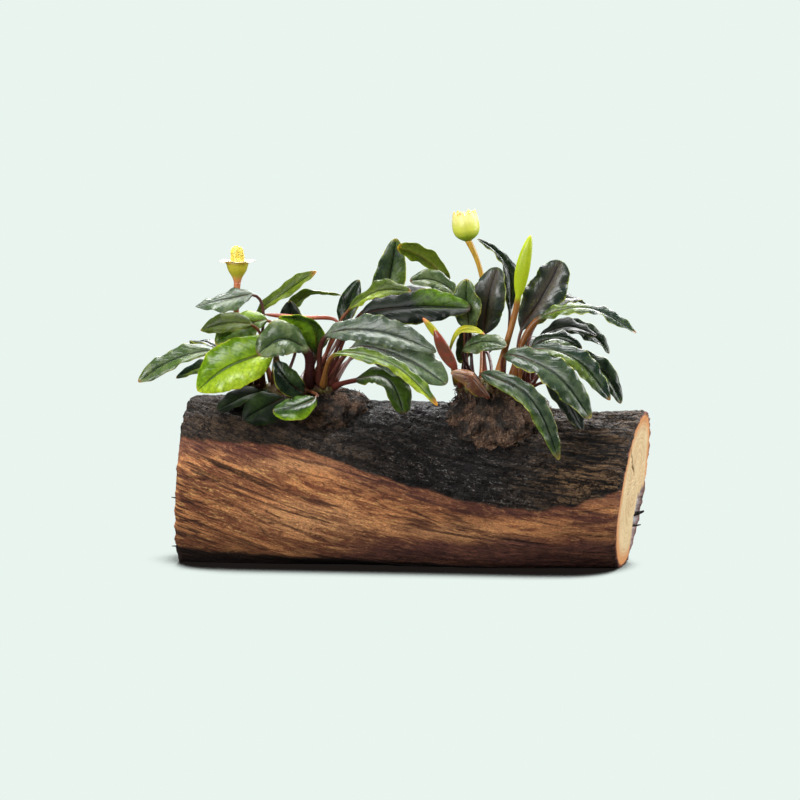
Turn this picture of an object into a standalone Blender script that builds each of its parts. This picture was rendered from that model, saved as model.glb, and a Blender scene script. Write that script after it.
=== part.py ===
# Bucephalandra plants grown on a short sawn log of driftwood.
# X runs along the log, Y away from the front and Z up, with the origin on the flat underside.
# Sizes are written in millimetres, and the meshes are made in metres.

import math

import bmesh
import bpy
import numpy as np
from mathutils import Vector

MM = 0.001
GAP = 0.3
OBJECT_NAME = "bucephalandra_on_driftwood"

# Plant points are written as seen from the front: right, up, and back from the log's middle.
# That front view stands a little to the right of the log and a little above it.
VIEW_TURN = math.radians(8.0)
VIEW_LIFT = math.radians(6.0)

# The log is a rough round bar, lower at its right end, with both ends sawn a little askew.
LOG_SIDES = 36
LOG_CUTS = 17
LOG_MIDDLE = -2.0
LOG_HALF_WIDTH = 23.6
LOG_WIDTH_TAPER = 0.0085
LOG_SINK = 1.2
LOG_TOP_X = (-70.0, -5.0, 14.0, 53.0, 70.0)
LOG_TOP_Z = (50.1, 48.3, 47.0, 46.0, 46.6)
LEFT_CUT = (-70.0, -0.04, 0.065)
RIGHT_CUT = (63.6, 0.07, 0.145)

# A rhizome creeps along the log: points of x, lean and height of its middle over the bark.
# It is one grown piece with its root mat, a low dome on the log, given by its middle and half
# length along the log, the middle and half spread of its lean from the top towards the front,
# and its height.
RHIZOME_RADIUS = 2.2
RHIZOMES = {
    "rhizome_left": ((-50.0, 9.0, 3.4), (-42.0, 13.0, 3.8), (-34.0, 17.0, 5.4), (-27.0, 18.0, 6.3),
                     (-21.5, 18.0, 6.1)),
    "rhizome_right": ((15.0, 15.0, 7.2), (21.0, 17.0, 8.4), (28.0, 18.0, 8.8), (37.0, 16.0, 7.8)),
}
MATS = {
    "rhizome_left": {"x": -24.0, "half_x": 13.5, "lean": 17.0, "half_lean": 27.0, "height": 5.6},
    "rhizome_right": {"x": 28.5, "half_x": 15.0, "lean": 18.0, "half_lean": 32.0, "height": 8.0},
}
MAT_COLUMNS = 18
MAT_ROWS = 10

# A blade is an oval ring at each of these shares of its length, then a point.
BLADE_SHARES = (0.0, 0.10, 0.26, 0.47, 0.68, 0.88)
STEM_SHARES = (0.0, 0.5)
RING_SIDES = 8
STEM_RADIUS = 0.65
ROOT_GAP = 0.6
BLADE_HALF_THICKNESS = 0.42
TIP_TAPER = 0.62

BARK_BROWN = (0.16, 0.085, 0.045)
FIBRE_BROWN = (0.17, 0.10, 0.05)
STALK_RED = (0.32, 0.07, 0.04)
LEAF_GREEN = (0.035, 0.075, 0.025)
BRIGHT_GREEN = (0.20, 0.36, 0.02)
RED_BROWN = (0.28, 0.05, 0.03)
FLOWER_CREAM = (0.80, 0.70, 0.45)
FLOWER_LEMON = (0.62, 0.66, 0.16)
SPADIX_YELLOW = (0.85, 0.55, 0.08)

# One row for each leaf: where its stalk leaves the rhizome, as a share of the rhizome's length
# and an angle from straight up towards the front, then the blade's start, middle and tip as
# seen from the front, its width, and the way that the upper side of its middle faces.
LEFT_LEAVES = {
    "leaf_left_01": dict(at=0.08, around=38, start=(-59.7, 63.3, -4), middle=(-69.9, 61.5, -6),
                         tip=(-81.9, 54.3, -9), width=8.2, face=(-0.1, -0.62, 0.78)),
    "leaf_left_02": dict(at=0.0, around=-25, start=(-57.0, 63.4, 9), middle=(-62.5, 66.2, 14),
                         tip=(-66.8, 66.0, 21), width=7.0, face=(0.0, 0.1, 1.0)),
    "leaf_left_03": dict(at=0.03, around=15, start=(-55.8, 60.3, 0), middle=(-63.3, 58.8, 1),
                         tip=(-71.0, 55.6, 2), width=6.0, face=(-0.1, -0.5, 0.85)),
    "leaf_left_04": dict(at=0.46, around=50, start=(-41.0, 62.3, -15), middle=(-52.4, 59.7, -17.5),
                         tip=(-63.8, 51.6, -17), width=15.6, face=(-0.05, -0.95, 0.28), fold=0.08),
    "leaf_left_05": dict(at=0.22, around=44, start=(-47.5, 71.2, -16.0), middle=(-55.2, 71.6, -16.5),
                         tip=(-62.8, 69.6, -17), width=8.0, face=(0.0, -0.8, 0.6)),
    "leaf_left_06": dict(at=0.34, around=20, start=(-43.0, 72.6, -10.0), middle=(-50.5, 70.6, -11.0),
                         tip=(-58.5, 65.6, -12.5), width=9.5, face=(0.1, -0.75, 0.65)),
    "leaf_left_07": dict(at=0.15, around=20, start=(-47.5, 80.4, -6), middle=(-56.0, 78.8, -8),
                         tip=(-64.6, 76.8, -9), width=10.0, face=(0.0, -0.58, 0.82), fold=-0.25),
    "leaf_left_08": dict(at=0.31, around=-8, start=(-46.5, 74.1, 2), middle=(-36.9, 81.8, 2),
                         tip=(-28.3, 87.5, 1), width=7.0, face=(-0.5, -0.65, 0.6), fold=0.3),
    "leaf_left_09": dict(at=0.40, around=-25, start=(-39.0, 73.5, 6), middle=(-32.5, 80.2, 8),
                         tip=(-21.0, 80.5, 10), width=6.5, face=(-0.2, 0.4, 0.9)),
    "leaf_left_10": dict(at=0.46, around=-5, start=(-34.5, 66.0, 0), middle=(-35.6, 72.5, -1),
                         tip=(-36.4, 78.6, -2), width=8.5, face=(0.0, -0.96, 0.2)),
    "leaf_left_11": dict(at=0.68, around=14, start=(-28.2, 62.5, -8), middle=(-29.6, 71.4, -10),
                         tip=(-39.4, 73.6, -12), width=10.0, face=(-0.6, -0.72, -0.35), fold=0.3),
    "leaf_left_12": dict(at=0.73, around=58, start=(-31.4, 63.8, -17), middle=(-38.4, 66.9, -19.5),
                         tip=(-45.5, 62.4, -21), width=12.0, face=(-0.15, -0.85, 0.5), fold=0.1, stem=1.6),
    "leaf_left_13": dict(at=0.68, around=90, start=(-28.4, 49.4, -23), middle=(-34.2, 46.9, -26),
                         tip=(-41.0, 45.6, -26), width=9.0, face=(-0.1, -0.75, 0.65), fold=-0.2),
    "leaf_left_14": dict(at=0.17, around=60, start=(-44.4, 51.9, -9), middle=(-51.6, 49.0, -14),
                         tip=(-57.8, 45.9, -17), width=10.0, face=(-0.15, -0.55, 0.82)),
    "leaf_left_15": dict(at=0.42, around=84, start=(-37.8, 49.6, -17), middle=(-43.8, 46.6, -20.5),
                         tip=(-49.8, 43.0, -22.5), width=10.0, face=(-0.1, -0.75, 0.65), fold=-0.1),
    "leaf_left_16": dict(at=0.98, around=-38, start=(-10.0, 74.0, 8), middle=(-6.3, 86.0, 9),
                         tip=(-4.5, 97.5, 8), width=9.5, face=(0.1, -0.95, 0.2)),
    "leaf_left_17": dict(at=0.74, around=-30, start=(-20.5, 70.5, 7), middle=(-18.6, 78.0, 8),
                         tip=(-15.6, 85.1, 8), width=7.5, face=(-0.3, -0.9, 0.2)),
    "leaf_left_18": dict(at=0.82, around=-12, start=(-18.4, 76.0, -2), middle=(-10.4, 81.2, -3),
                         tip=(-0.1, 81.4, -4), width=8.0, face=(0.0, -0.62, 0.78)),
    "leaf_left_19": dict(at=0.88, around=26, start=(-15.0, 73.6, -9.5), middle=(0.8, 76.4, -12),
                         tip=(17.6, 76.0, -14.5), width=11.0, face=(0.0, -0.85, 0.5), taper=0.45),
    "leaf_left_20": dict(at=0.93, around=-8, start=(-11.7, 77.4, 1), middle=(-3.3, 80.2, 3),
                         tip=(9.6, 79.8, 5), width=8.0, face=(0.0, -0.4, 0.9)),
    "leaf_left_21": dict(at=0.84, around=46, start=(-25.2, 67.8, -17), middle=(-10.4, 69.2, -20),
                         tip=(7.4, 63.0, -22), width=9.4, face=(0.0, -0.78, 0.62), stem=0.8),
    "leaf_left_22": dict(at=0.94, around=40, start=(-17.4, 64.2, -12.5), middle=(-1.6, 60.8, -15),
                         tip=(10.5, 53.6, -18), width=10.2, face=(0.1, -0.75, 0.65), stem=0.8, taper=0.5),
    "leaf_left_23": dict(at=0.88, around=66, start=(-22.6, 62.2, -20), middle=(-7.4, 60.2, -24),
                         tip=(7.8, 47.2, -27), width=8.4, face=(0.15, -0.5, 0.86), stem=0.8, taper=0.5),
    "leaf_left_24": dict(at=1.0, around=62, start=(-16.2, 54.8, -15), middle=(-8.0, 55.6, -18),
                         tip=(-2.2, 44.8, -23), width=8.4, face=(0.3, -0.7, 0.65), stem=0.8, taper=0.45),
    "leaf_left_25": dict(at=0.62, around=-45, start=(-30.0, 62.0, 8), middle=(-29.0, 68.0, 16),
                         tip=(-31.0, 61.0, 27), width=9.5, face=(0.0, 0.35, 0.93)),
    "leaf_left_26": dict(at=0.88, around=-55, start=(-17.0, 62.0, 8), middle=(-10.0, 66.0, 15),
                         tip=(-3.0, 58.0, 24), width=9.0, face=(0.2, 0.35, 0.9)),
    "leaf_left_27": dict(at=0.54, around=84, start=(-32.0, 51.0, -20), middle=(-36.5, 54.5, -22.5),
                         tip=(-40.4, 60.6, -22), width=7.5, face=(0.3, -0.9, 0.2)),
}
RIGHT_LEAVES = {
    "leaf_right_01": dict(at=0.62, around=-8, start=(29.5, 75.0, 0), middle=(28.4, 89.6, 1),
                          tip=(19.8, 97.0, 0), width=7.5, face=(0.75, -0.55, 0.35)),
    "leaf_right_02": dict(at=0.40, around=8, start=(21.8, 68.5, -5), middle=(23.2, 79.2, -6),
                          tip=(25.8, 88.4, -5), width=10.8, face=(0.0, -0.97, 0.15), taper=0.45),
    "leaf_right_03": dict(at=0.22, around=22, start=(17.5, 69.5, -9), middle=(16.5, 77.6, -11),
                          tip=(16.5, 84.8, -12), width=8.0, face=(-0.25, -0.93, 0.2)),
    "leaf_right_04": dict(at=0.82, around=6, start=(32.8, 69.6, -6), middle=(39.4, 80.0, -7),
                          tip=(44.6, 90.2, -6), width=12.4, face=(0.1, -0.95, 0.22), taper=0.4),
    "leaf_right_05": dict(at=0.74, around=30, start=(37.8, 72.8, -11), middle=(52.0, 75.8, -13),
                          tip=(66.4, 68.6, -15), width=6.8, face=(0.0, -0.55, 0.83), stem=1.0),
    "leaf_right_06": dict(at=0.92, around=-30, start=(37.5, 71.8, 4), middle=(45.2, 79.2, 8),
                          tip=(53.0, 77.4, 14), width=8.5, face=(-0.1, -0.35, 0.93)),
    "leaf_right_07": dict(at=1.0, around=-15, start=(43.5, 70.4, 0), middle=(52.0, 69.4, 1),
                          tip=(59.2, 62.8, 2), width=6.5, face=(0.1, -0.55, 0.83)),
    "leaf_right_08": dict(at=0.96, around=14, start=(38.5, 67.8, -4), middle=(46.5, 70.6, -5),
                          tip=(55.0, 68.0, -6), width=7.5, face=(0.0, -0.62, 0.78)),
    "leaf_right_09": dict(at=0.90, around=38, start=(36.0, 64.8, -10), middle=(43.4, 67.0, -12),
                          tip=(50.5, 64.0, -13), width=7.0, face=(0.1, -0.72, 0.68)),
    "leaf_right_10": dict(at=0.85, around=55, start=(34.8, 63.4, -16), middle=(47.4, 61.4, -18.5),
                          tip=(58.6, 48.8, -20), width=8.4, face=(0.2, -0.78, 0.6)),
    "leaf_right_11": dict(at=1.0, around=35, start=(44.5, 61.5, -9), middle=(56.5, 57.5, -11),
                          tip=(62.0, 47.8, -13), width=7.5, face=(0.35, -0.75, 0.55)),
    "leaf_right_12": dict(at=0.66, around=62, start=(27.6, 61.8, -19), middle=(40.8, 57.6, -23),
                          tip=(52.6, 43.4, -25), width=10.4, face=(0.15, -0.85, 0.5), taper=0.5),
    "leaf_right_13": dict(at=0.98, around=72, start=(40.0, 54.0, -15), middle=(45.8, 48.5, -18.5),
                          tip=(50.4, 39.8, -21), width=7.0, face=(0.3, -0.8, 0.5)),
    "leaf_right_14": dict(at=0.52, around=75, start=(20.8, 56.6, -23), middle=(33.6, 50.6, -28),
                          tip=(43.4, 31.2, -28), width=8.2, face=(0.1, -0.88, 0.45)),
    "leaf_right_15": dict(at=0.30, around=48, start=(15.5, 63.4, -14), middle=(22.0, 66.2, -17),
                          tip=(28.2, 64.6, -20), width=7.0, face=(0.0, -0.7, 0.7), fold=-0.15),
    "leaf_right_16": dict(at=0.08, around=34, start=(11.6, 64.4, -12.5), middle=(15.0, 69.5, -13.5),
                          tip=(21.8, 68.4, -15), width=4.2, face=(-0.1, -0.35, 0.93)),
    "leaf_right_17": dict(at=0.22, around=88, start=(22.4, 50.2, -26), middle=(17.0, 54.0, -29),
                          tip=(11.6, 57.0, -28.5), width=7.0, face=(-0.1, -0.75, 0.65), fold=0.35),
    "leaf_right_18": dict(at=0.14, around=-18, start=(11.6, 84.0, 1), middle=(4.6, 91.0, 0),
                          tip=(-4.1, 94.7, -2), width=8.6, face=(-0.35, 0.55, 0.75)),
    "leaf_right_19": dict(at=0.10, around=5, start=(13.5, 80.2, -6), middle=(6.6, 84.6, -7),
                          tip=(-0.4, 84.2, -9), width=7.4, face=(0.0, -0.72, 0.7)),
    "leaf_right_20": dict(at=0.48, around=-50, start=(23.0, 63.0, 5), middle=(20.0, 68.0, 13),
                          tip=(15.0, 60.0, 23), width=9.5, face=(-0.1, 0.35, 0.93)),
    "leaf_right_21": dict(at=0.84, around=-58, start=(36.0, 62.0, 5), middle=(39.0, 67.0, 13),
                          tip=(43.0, 58.0, 23), width=9.5, face=(0.1, 0.35, 0.93)),
}

# Closed young leaves and sheaths are round in section.
YOUNG_LEAVES = {
    "young_leaf_left": dict(rhizome="rhizome_left", at=0.76, around=2, start=(-22.6, 72.8, -5),
                            middle=(-33.0, 73.6, -5), tip=(-44.3, 74.6, -5), width=2.4,
                            face=(0.0, -0.3, 0.95), half_thickness=1.1, colour=RED_BROWN),
    "young_leaf_right": dict(rhizome="rhizome_right", at=0.0, around=45, start=(9.0, 66.2, -17),
                             middle=(6.6, 69.4, -18), tip=(3.4, 73.2, -19), width=2.2,
                             face=(0.0, -0.95, 0.3), half_thickness=1.0, colour=BRIGHT_GREEN),
    "sheath_right": dict(rhizome="rhizome_right", at=0.06, around=70, start=(13.4, 57.6, -20),
                         middle=(10.2, 62.8, -21), tip=(6.9, 69.6, -22), width=4.0,
                         face=(-0.3, -0.9, 0.2), half_thickness=1.1, colour=RED_BROWN),
    "flower_spear": dict(rhizome="rhizome_right", at=0.56, around=32, start=(31.6, 78.6, -12),
                         middle=(32.8, 86.6, -13), tip=(35.3, 97.6, -13), width=4.3,
                         face=(0.0, -0.95, 0.2), half_thickness=1.3, stem=1.0,
                         colour=BRIGHT_GREEN),
}

# The open flower's spathe and the closed bud are turned: radius and height up from the stalk.
SPATHE_FOOT = (-52.3, 84.2, 3.0)
SPATHE_PROFILE = ((0.0, 0.0), (1.1, 0.1), (2.7, 3.0), (3.6, 6.1), (5.9, 6.5), (5.8, 7.1),
                  (3.1, 6.8), (2.0, 3.4), (0.0, 2.6))
SPADIX_RADIUS = 2.2
SPADIX_HEIGHTS = (3.1, 11.2)
BUD_FOOT = (17.0, 96.4, 3.0)
BUD_PROFILE = ((0.0, 0.0), (1.3, 0.2), (3.5, 1.9), (4.1, 4.6), (3.9, 7.6), (3.2, 8.9),
               (2.3, 8.4), (0.0, 7.9))
BUD_LEAN = math.radians(-8.0)
TURNED_STEPS = 14
FLOWER_STALKS = {
    "flower_stalk_left": dict(rhizome="rhizome_left", at=0.13, around=-50, radius=0.9,
                              points=((-50.5, 62.0, 5.5), (-52.6, 74.0, 4.5)), foot=SPATHE_FOOT),
    "flower_stalk_right": dict(rhizome="rhizome_right", at=0.34, around=-22, radius=0.95,
                               points=((21.5, 68.0, 1.5), (21.3, 85.2, 3.0), (19.5, 91.5, 3.0)),
                               foot=BUD_FOOT),
}


def seen_point(right, up, back):
    x = (right - back * math.sin(VIEW_TURN)) / math.cos(VIEW_TURN)
    depth = back * math.cos(VIEW_TURN) - x * math.sin(VIEW_TURN)
    z = (up - depth * math.sin(VIEW_LIFT)) / math.cos(VIEW_LIFT)
    return np.array((x, back, z))


def make_material(name, colour, roughness):
    material = bpy.data.materials.new(name)
    material.use_nodes = True
    shader = material.node_tree.nodes["Principled BSDF"]
    shader.inputs["Base Color"].default_value = (*colour, 1.0)
    shader.inputs["Roughness"].default_value = roughness
    shader.inputs["Metallic"].default_value = 0.0
    return material


def add_object(name, data, material, collection):
    item = bpy.data.objects.new(name, data)
    data.materials.append(material)
    collection.objects.link(item)
    return item


def finish_mesh(shape, name, material, collection):
    bmesh.ops.recalc_face_normals(shape, faces=shape.faces)
    mesh = bpy.data.meshes.new(name)
    shape.to_mesh(mesh)
    shape.free()
    mesh.shade_smooth()
    mesh.set_sharp_from_angle(angle=math.radians(50.0))
    return add_object(name, mesh, material, collection)


def bark_relief(x, lean):
    ridges = 0.45 * math.sin(3.0 * lean + 0.03 * x + 0.6)
    ledges = 0.30 * math.sin(5.0 * lean - 0.05 * x + 1.3)
    swells = 0.25 * math.sin(0.09 * x + 2.0 * lean)
    return ridges + ledges + swells


def log_point(x, lean, height=0.0):
    # lean is the angle from the top of the log towards the front, in radians.
    half_tall = (np.interp(x, LOG_TOP_X, LOG_TOP_Z) + LOG_SINK) / 2
    half_wide = LOG_HALF_WIDTH - LOG_WIDTH_TAPER * x
    out = bark_relief(x, lean) + height
    y = -(half_wide + out) * math.sin(lean)
    z = half_tall - LOG_SINK + (half_tall + out) * math.cos(lean)
    return np.array((x, y, max(z, 0.0)))


def cut_x(cut, y, z):
    return cut[0] + cut[1] * y + cut[2] * z


def build_log(material, collection):
    shape = bmesh.new()
    bmesh.ops.create_cone(shape, cap_ends=True, segments=LOG_SIDES, radius1=1.0, radius2=1.0, depth=1.0)
    long_edges = []
    for edge in shape.edges:
        if abs(edge.verts[0].co.z - edge.verts[1].co.z) > 0.5:
            long_edges.append(edge)
    bmesh.ops.subdivide_edges(shape, edges=long_edges, cuts=LOG_CUTS)
    length = cut_x(RIGHT_CUT, 0.0, 25.0) - cut_x(LEFT_CUT, 0.0, 25.0)
    for vertex in shape.verts:
        share = vertex.co.z + 0.5
        lean = math.atan2(-vertex.co.y, vertex.co.x)
        _, y, z = log_point(LOG_MIDDLE + length * (share - 0.5), lean)
        x = cut_x(LEFT_CUT, y, z) * (1 - share) + cut_x(RIGHT_CUT, y, z) * share
        vertex.co = Vector((x, y, z)) * MM
    return finish_mesh(shape, "driftwood_log", material, collection)


def build_mat(size, material, collection):
    shape = bmesh.new()
    bmesh.ops.create_uvsphere(shape, u_segments=MAT_COLUMNS, v_segments=MAT_ROWS, radius=1.0)
    for vertex in shape.verts:
        along, across, over = vertex.co
        lumps = 1.0 + 0.10 * math.sin(7.0 * along + 3.0 * across) * math.cos(6.0 * across - 1.0)
        x = size["x"] + size["half_x"] * along * lumps
        lean = math.radians(size["lean"] + size["half_lean"] * across * lumps)
        height = 2 * GAP + size["height"] * max(over, 0.0) * lumps
        vertex.co = Vector(log_point(x, lean, height)) * MM
    return finish_mesh(shape, "root_mat", material, collection)


def rhizome_middles(name):
    middles = []
    for x, lean, height in RHIZOMES[name]:
        middles.append(log_point(x, math.radians(lean), height))
    return np.array(middles)


def build_tube(name, points, radius, material, collection):
    curve = bpy.data.curves.new(name, "CURVE")
    curve.dimensions = "3D"
    curve.bevel_depth = radius * MM
    curve.bevel_resolution = 2
    curve.use_fill_caps = True
    line = curve.splines.new("POLY")
    line.points.add(len(points) - 1)
    for control, point in zip(line.points, points):
        control.co = (*(point * MM), 1.0)
    return add_object(name, curve, material, collection)


def build_rhizome(name, material, collection, cutters):
    path, _ = smooth_path(rhizome_middles(name), (1.0, 0.0, 0.0), 9)
    tube = build_tube(name + "_tube", path, RHIZOME_RADIUS, material, collection)
    depsgraph = bpy.context.evaluated_depsgraph_get()
    mesh = bpy.data.meshes.new_from_object(tube.evaluated_get(depsgraph))
    shape = bmesh.new()
    shape.from_mesh(mesh)
    bmesh.ops.remove_doubles(shape, verts=shape.verts, dist=0.01 * MM)
    shape.to_mesh(mesh)
    shape.free()
    stem = bpy.data.objects.new(name + "_stem", mesh)
    stem.matrix_world = tube.matrix_world
    stem.hide_render = True
    stem.display_type = "WIRE"
    cutters.objects.link(stem)
    bpy.data.objects.remove(tube)
    mat = build_mat(MATS[name], material, collection)
    mat.name = name
    joining = mat.modifiers.new("joining", "BOOLEAN")
    joining.operation = "UNION"
    joining.solver = "EXACT"
    joining.object = stem
    return mat


def smooth_path(knots, first_way, count):
    # A smooth curve through the knots that leaves the first one along first_way.
    knots = np.array(knots)
    spans = np.linalg.norm(np.diff(knots, axis=0), axis=1)
    slopes = np.diff(knots, axis=0) / spans[:, None]
    ways = [np.array(first_way)]
    for index in range(1, len(spans)):
        before, after = spans[index - 1], spans[index]
        ways.append((slopes[index - 1] * after + slopes[index] * before) / (before + after))
    ways.append(1.5 * slopes[-1] - 0.5 * ways[-1])
    stops = np.concatenate(([0.0], np.cumsum(spans)))
    path = []
    for place in np.linspace(0.0, stops[-1], count):
        index = min(int(np.searchsorted(stops, place, side="right")) - 1, len(spans) - 1)
        span = spans[index]
        t = (place - stops[index]) / span
        start_part = (1 + 2 * t) * (1 - t) ** 2 * knots[index]
        start_way = t * (1 - t) ** 2 * span * ways[index]
        end_part = t * t * (3 - 2 * t) * knots[index + 1]
        end_way = t * t * (t - 1) * span * ways[index + 1]
        path.append(start_part + start_way + end_part + end_way)
    return np.array(path), stops


def rhizome_exit(name, at, around, goal):
    # The point beside a rhizome where a stalk starts, and the way it sets out for its goal.
    middles = rhizome_middles(name)
    steps = np.linalg.norm(np.diff(middles, axis=0), axis=1)
    stops = np.concatenate(([0.0], np.cumsum(steps))) / steps.sum()
    middle = np.array([np.interp(at, stops, middles[:, axis]) for axis in range(3)])
    turn = math.radians(around)
    out = np.array((0.0, -math.sin(turn), math.cos(turn)))
    root = middle + out * (RHIZOME_RADIUS + ROOT_GAP)
    onward = (goal - root) / np.linalg.norm(goal - root)
    way = 0.45 * out + onward
    return root, way / np.linalg.norm(way)


def blade_outline(share, taper):
    # Half breadth as a share of the widest, from the start of the blade to its tip.
    return math.sin(math.pi * share ** 0.9) ** (0.75 + (taper - 0.75) * share)


def leaf_frames(path, face, middle_index):
    # The way along the leaf and the way across it at every point of its path.
    ways = np.gradient(path, axis=0)
    ways /= np.linalg.norm(ways, axis=1)[:, None]
    sides = np.zeros_like(ways)
    first = np.cross(ways[middle_index], face)
    sides[middle_index] = first / np.linalg.norm(first)
    onward = range(middle_index + 1, len(path))
    backward = range(middle_index - 1, -1, -1)
    for order, step in ((onward, -1), (backward, 1)):
        for index in order:
            side = sides[index + step]
            side = side - ways[index] * np.dot(side, ways[index])
            sides[index] = side / np.linalg.norm(side)
    return ways, sides


def build_leaf(name, rhizome, row, material, collection):
    stem = row.get("stem", STEM_RADIUS)
    half_thickness = row.get("half_thickness", BLADE_HALF_THICKNESS)
    fold = row.get("fold", 0.15)
    taper = row.get("taper", TIP_TAPER)
    start = seen_point(*row["start"])
    root, root_way = rhizome_exit(rhizome, row["at"], row["around"], start)
    knots = [root, start, seen_point(*row["middle"]), seen_point(*row["tip"])]
    path, stops = smooth_path(knots, root_way, 121)
    middle_index = int(np.searchsorted(np.linspace(0.0, stops[-1], 121), stops[2]))
    ways, sides = leaf_frames(path, np.array(row["face"]), middle_index)
    blade_start = stops[1] / stops[-1]
    shares = [share * blade_start for share in STEM_SHARES]
    shares += [blade_start + share * (1 - blade_start) for share in BLADE_SHARES]
    shape = bmesh.new()
    rings = []
    for share in shares:
        index = round(share * 120)
        blade_share = max(0.0, (share - blade_start) / (1 - blade_start))
        breadth = blade_outline(blade_share, taper)
        half_width = max(stem, row["width"] / 2 * breadth)
        blend = min(1.0, breadth * 1.5)
        half_height = stem + (half_thickness - stem) * blend
        over = np.cross(sides[index], ways[index])
        ring = []
        for side_number in range(RING_SIDES):
            turn = 2 * math.pi * side_number / RING_SIDES
            across = half_width * math.cos(turn)
            lift = half_height * math.sin(turn) + fold * blend * abs(across)
            point = path[index] + sides[index] * across + over * lift
            ring.append(shape.verts.new(Vector(point) * MM))
        rings.append(ring)
    tip = shape.verts.new(Vector(path[-1]) * MM)
    shape.faces.new(rings[0])
    for lower, upper in zip(rings, rings[1:]):
        for number in range(RING_SIDES):
            after = (number + 1) % RING_SIDES
            shape.faces.new((lower[number], lower[after], upper[after], upper[number]))
    for number in range(RING_SIDES):
        shape.faces.new((rings[-1][number], rings[-1][(number + 1) % RING_SIDES], tip))
    return finish_mesh(shape, name, material, collection)


def build_turned(name, profile, foot, lean, material, collection):
    mesh = bpy.data.meshes.new(name)
    points = [(radius * MM, 0.0, height * MM) for radius, height in profile]
    edges = [(index, index + 1) for index in range(len(points) - 1)]
    mesh.from_pydata(points, edges, [])
    item = add_object(name, mesh, material, collection)
    item.location = seen_point(*foot) * MM
    item.rotation_euler = (0.0, lean, 0.0)
    turning = item.modifiers.new("turning", "SCREW")
    turning.steps = TURNED_STEPS
    turning.render_steps = TURNED_STEPS
    turning.use_merge_vertices = True
    turning.merge_threshold = 0.00001
    turning.use_normal_calculate = True
    return item


def build_spadix(material, collection):
    low, high = SPADIX_HEIGHTS
    shape = bmesh.new()
    bmesh.ops.create_uvsphere(shape, u_segments=10, v_segments=8, radius=1.0)
    for vertex in shape.verts:
        x, y, z = vertex.co
        height = (low + high) / 2 + z * (high - low) / 2
        vertex.co = Vector((x * SPADIX_RADIUS, y * SPADIX_RADIUS, height)) * MM
    item = finish_mesh(shape, "spadix", material, collection)
    item.location = seen_point(*SPATHE_FOOT) * MM
    return item


def build_flower_stalk(name, row, material, collection):
    foot = seen_point(*row["foot"]) - np.array((0.0, 0.0, GAP + 0.2))
    points = [seen_point(*point) for point in row["points"]]
    root, root_way = rhizome_exit(row["rhizome"], row["at"], row["around"], points[0])
    knots = [root, *points, foot]
    path, _ = smooth_path(knots, root_way, 14)
    return build_tube(name, path, row["radius"], material, collection)


def main():
    for item in list(bpy.data.objects):
        bpy.data.objects.remove(item, do_unlink=True)
    collection = bpy.data.collections.new(OBJECT_NAME)
    bpy.context.scene.collection.children.link(collection)
    cutters = bpy.data.collections.new("joined_shapes")
    bpy.context.scene.collection.children.link(cutters)

    build_log(make_material("bark", BARK_BROWN, 0.75), collection)
    fibre = make_material("root_fibre", FIBRE_BROWN, 0.9)
    for name in RHIZOMES:
        build_rhizome(name, fibre, collection, cutters)

    green = make_material("leaf", LEAF_GREEN, 0.3)
    for name, row in LEFT_LEAVES.items():
        build_leaf(name, "rhizome_left", row, green, collection)
    for name, row in RIGHT_LEAVES.items():
        build_leaf(name, "rhizome_right", row, green, collection)
    for name, row in YOUNG_LEAVES.items():
        young = make_material(name + "_skin", row["colour"], 0.35)
        build_leaf(name, row["rhizome"], row, young, collection)

    for name, row in FLOWER_STALKS.items():
        build_flower_stalk(name, row, make_material(name + "_skin", STALK_RED, 0.4), collection)
    cream = make_material("spathe", FLOWER_CREAM, 0.4)
    build_turned("spathe", SPATHE_PROFILE, SPATHE_FOOT, 0.0, cream, collection)
    build_spadix(make_material("spadix", SPADIX_YELLOW, 0.5), collection)
    lemon = make_material("flower_bud", FLOWER_LEMON, 0.4)
    build_turned("flower_bud", BUD_PROFILE, BUD_FOOT, BUD_LEAN, lemon, collection)


main()
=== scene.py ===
# Bucephalandra plants grown on a short sawn log of driftwood: the looks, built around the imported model.
# X runs along the log, Y away from the front and Z up. Lengths are in millimetres until a mesh is made.

import math

import bpy
import numpy as np
from mathutils import Matrix, Vector, noise


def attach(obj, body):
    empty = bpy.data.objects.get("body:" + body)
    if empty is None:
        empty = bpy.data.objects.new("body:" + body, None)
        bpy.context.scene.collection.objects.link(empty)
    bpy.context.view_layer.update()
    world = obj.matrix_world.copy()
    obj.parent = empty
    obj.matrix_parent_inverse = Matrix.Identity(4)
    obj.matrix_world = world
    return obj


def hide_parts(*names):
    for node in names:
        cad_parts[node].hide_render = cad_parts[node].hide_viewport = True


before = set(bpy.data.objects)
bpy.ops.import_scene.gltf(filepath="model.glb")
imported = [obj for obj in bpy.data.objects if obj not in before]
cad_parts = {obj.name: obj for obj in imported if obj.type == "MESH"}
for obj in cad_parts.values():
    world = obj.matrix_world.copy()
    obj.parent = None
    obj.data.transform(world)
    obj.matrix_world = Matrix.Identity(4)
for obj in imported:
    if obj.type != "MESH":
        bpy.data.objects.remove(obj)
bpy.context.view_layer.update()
mm = 0.001

# The photo looks from a little to the right of the log and a little above it.
# Plant points are written as that view shows them: right, up, and back from the log's middle.
viewTurn = math.radians(8.0)
viewLift = math.radians(6.0)
photoView = {"distance": 1600.0, "lens": 240.0, "right": -3.3, "up": 48.9}


def seenPoint(right, up, back):
    x = (right - back * math.sin(viewTurn)) / math.cos(viewTurn)
    depth = back * math.cos(viewTurn) - x * math.sin(viewTurn)
    z = (up - depth * math.sin(viewLift)) / math.cos(viewLift)
    return np.array((x, back, z))


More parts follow.
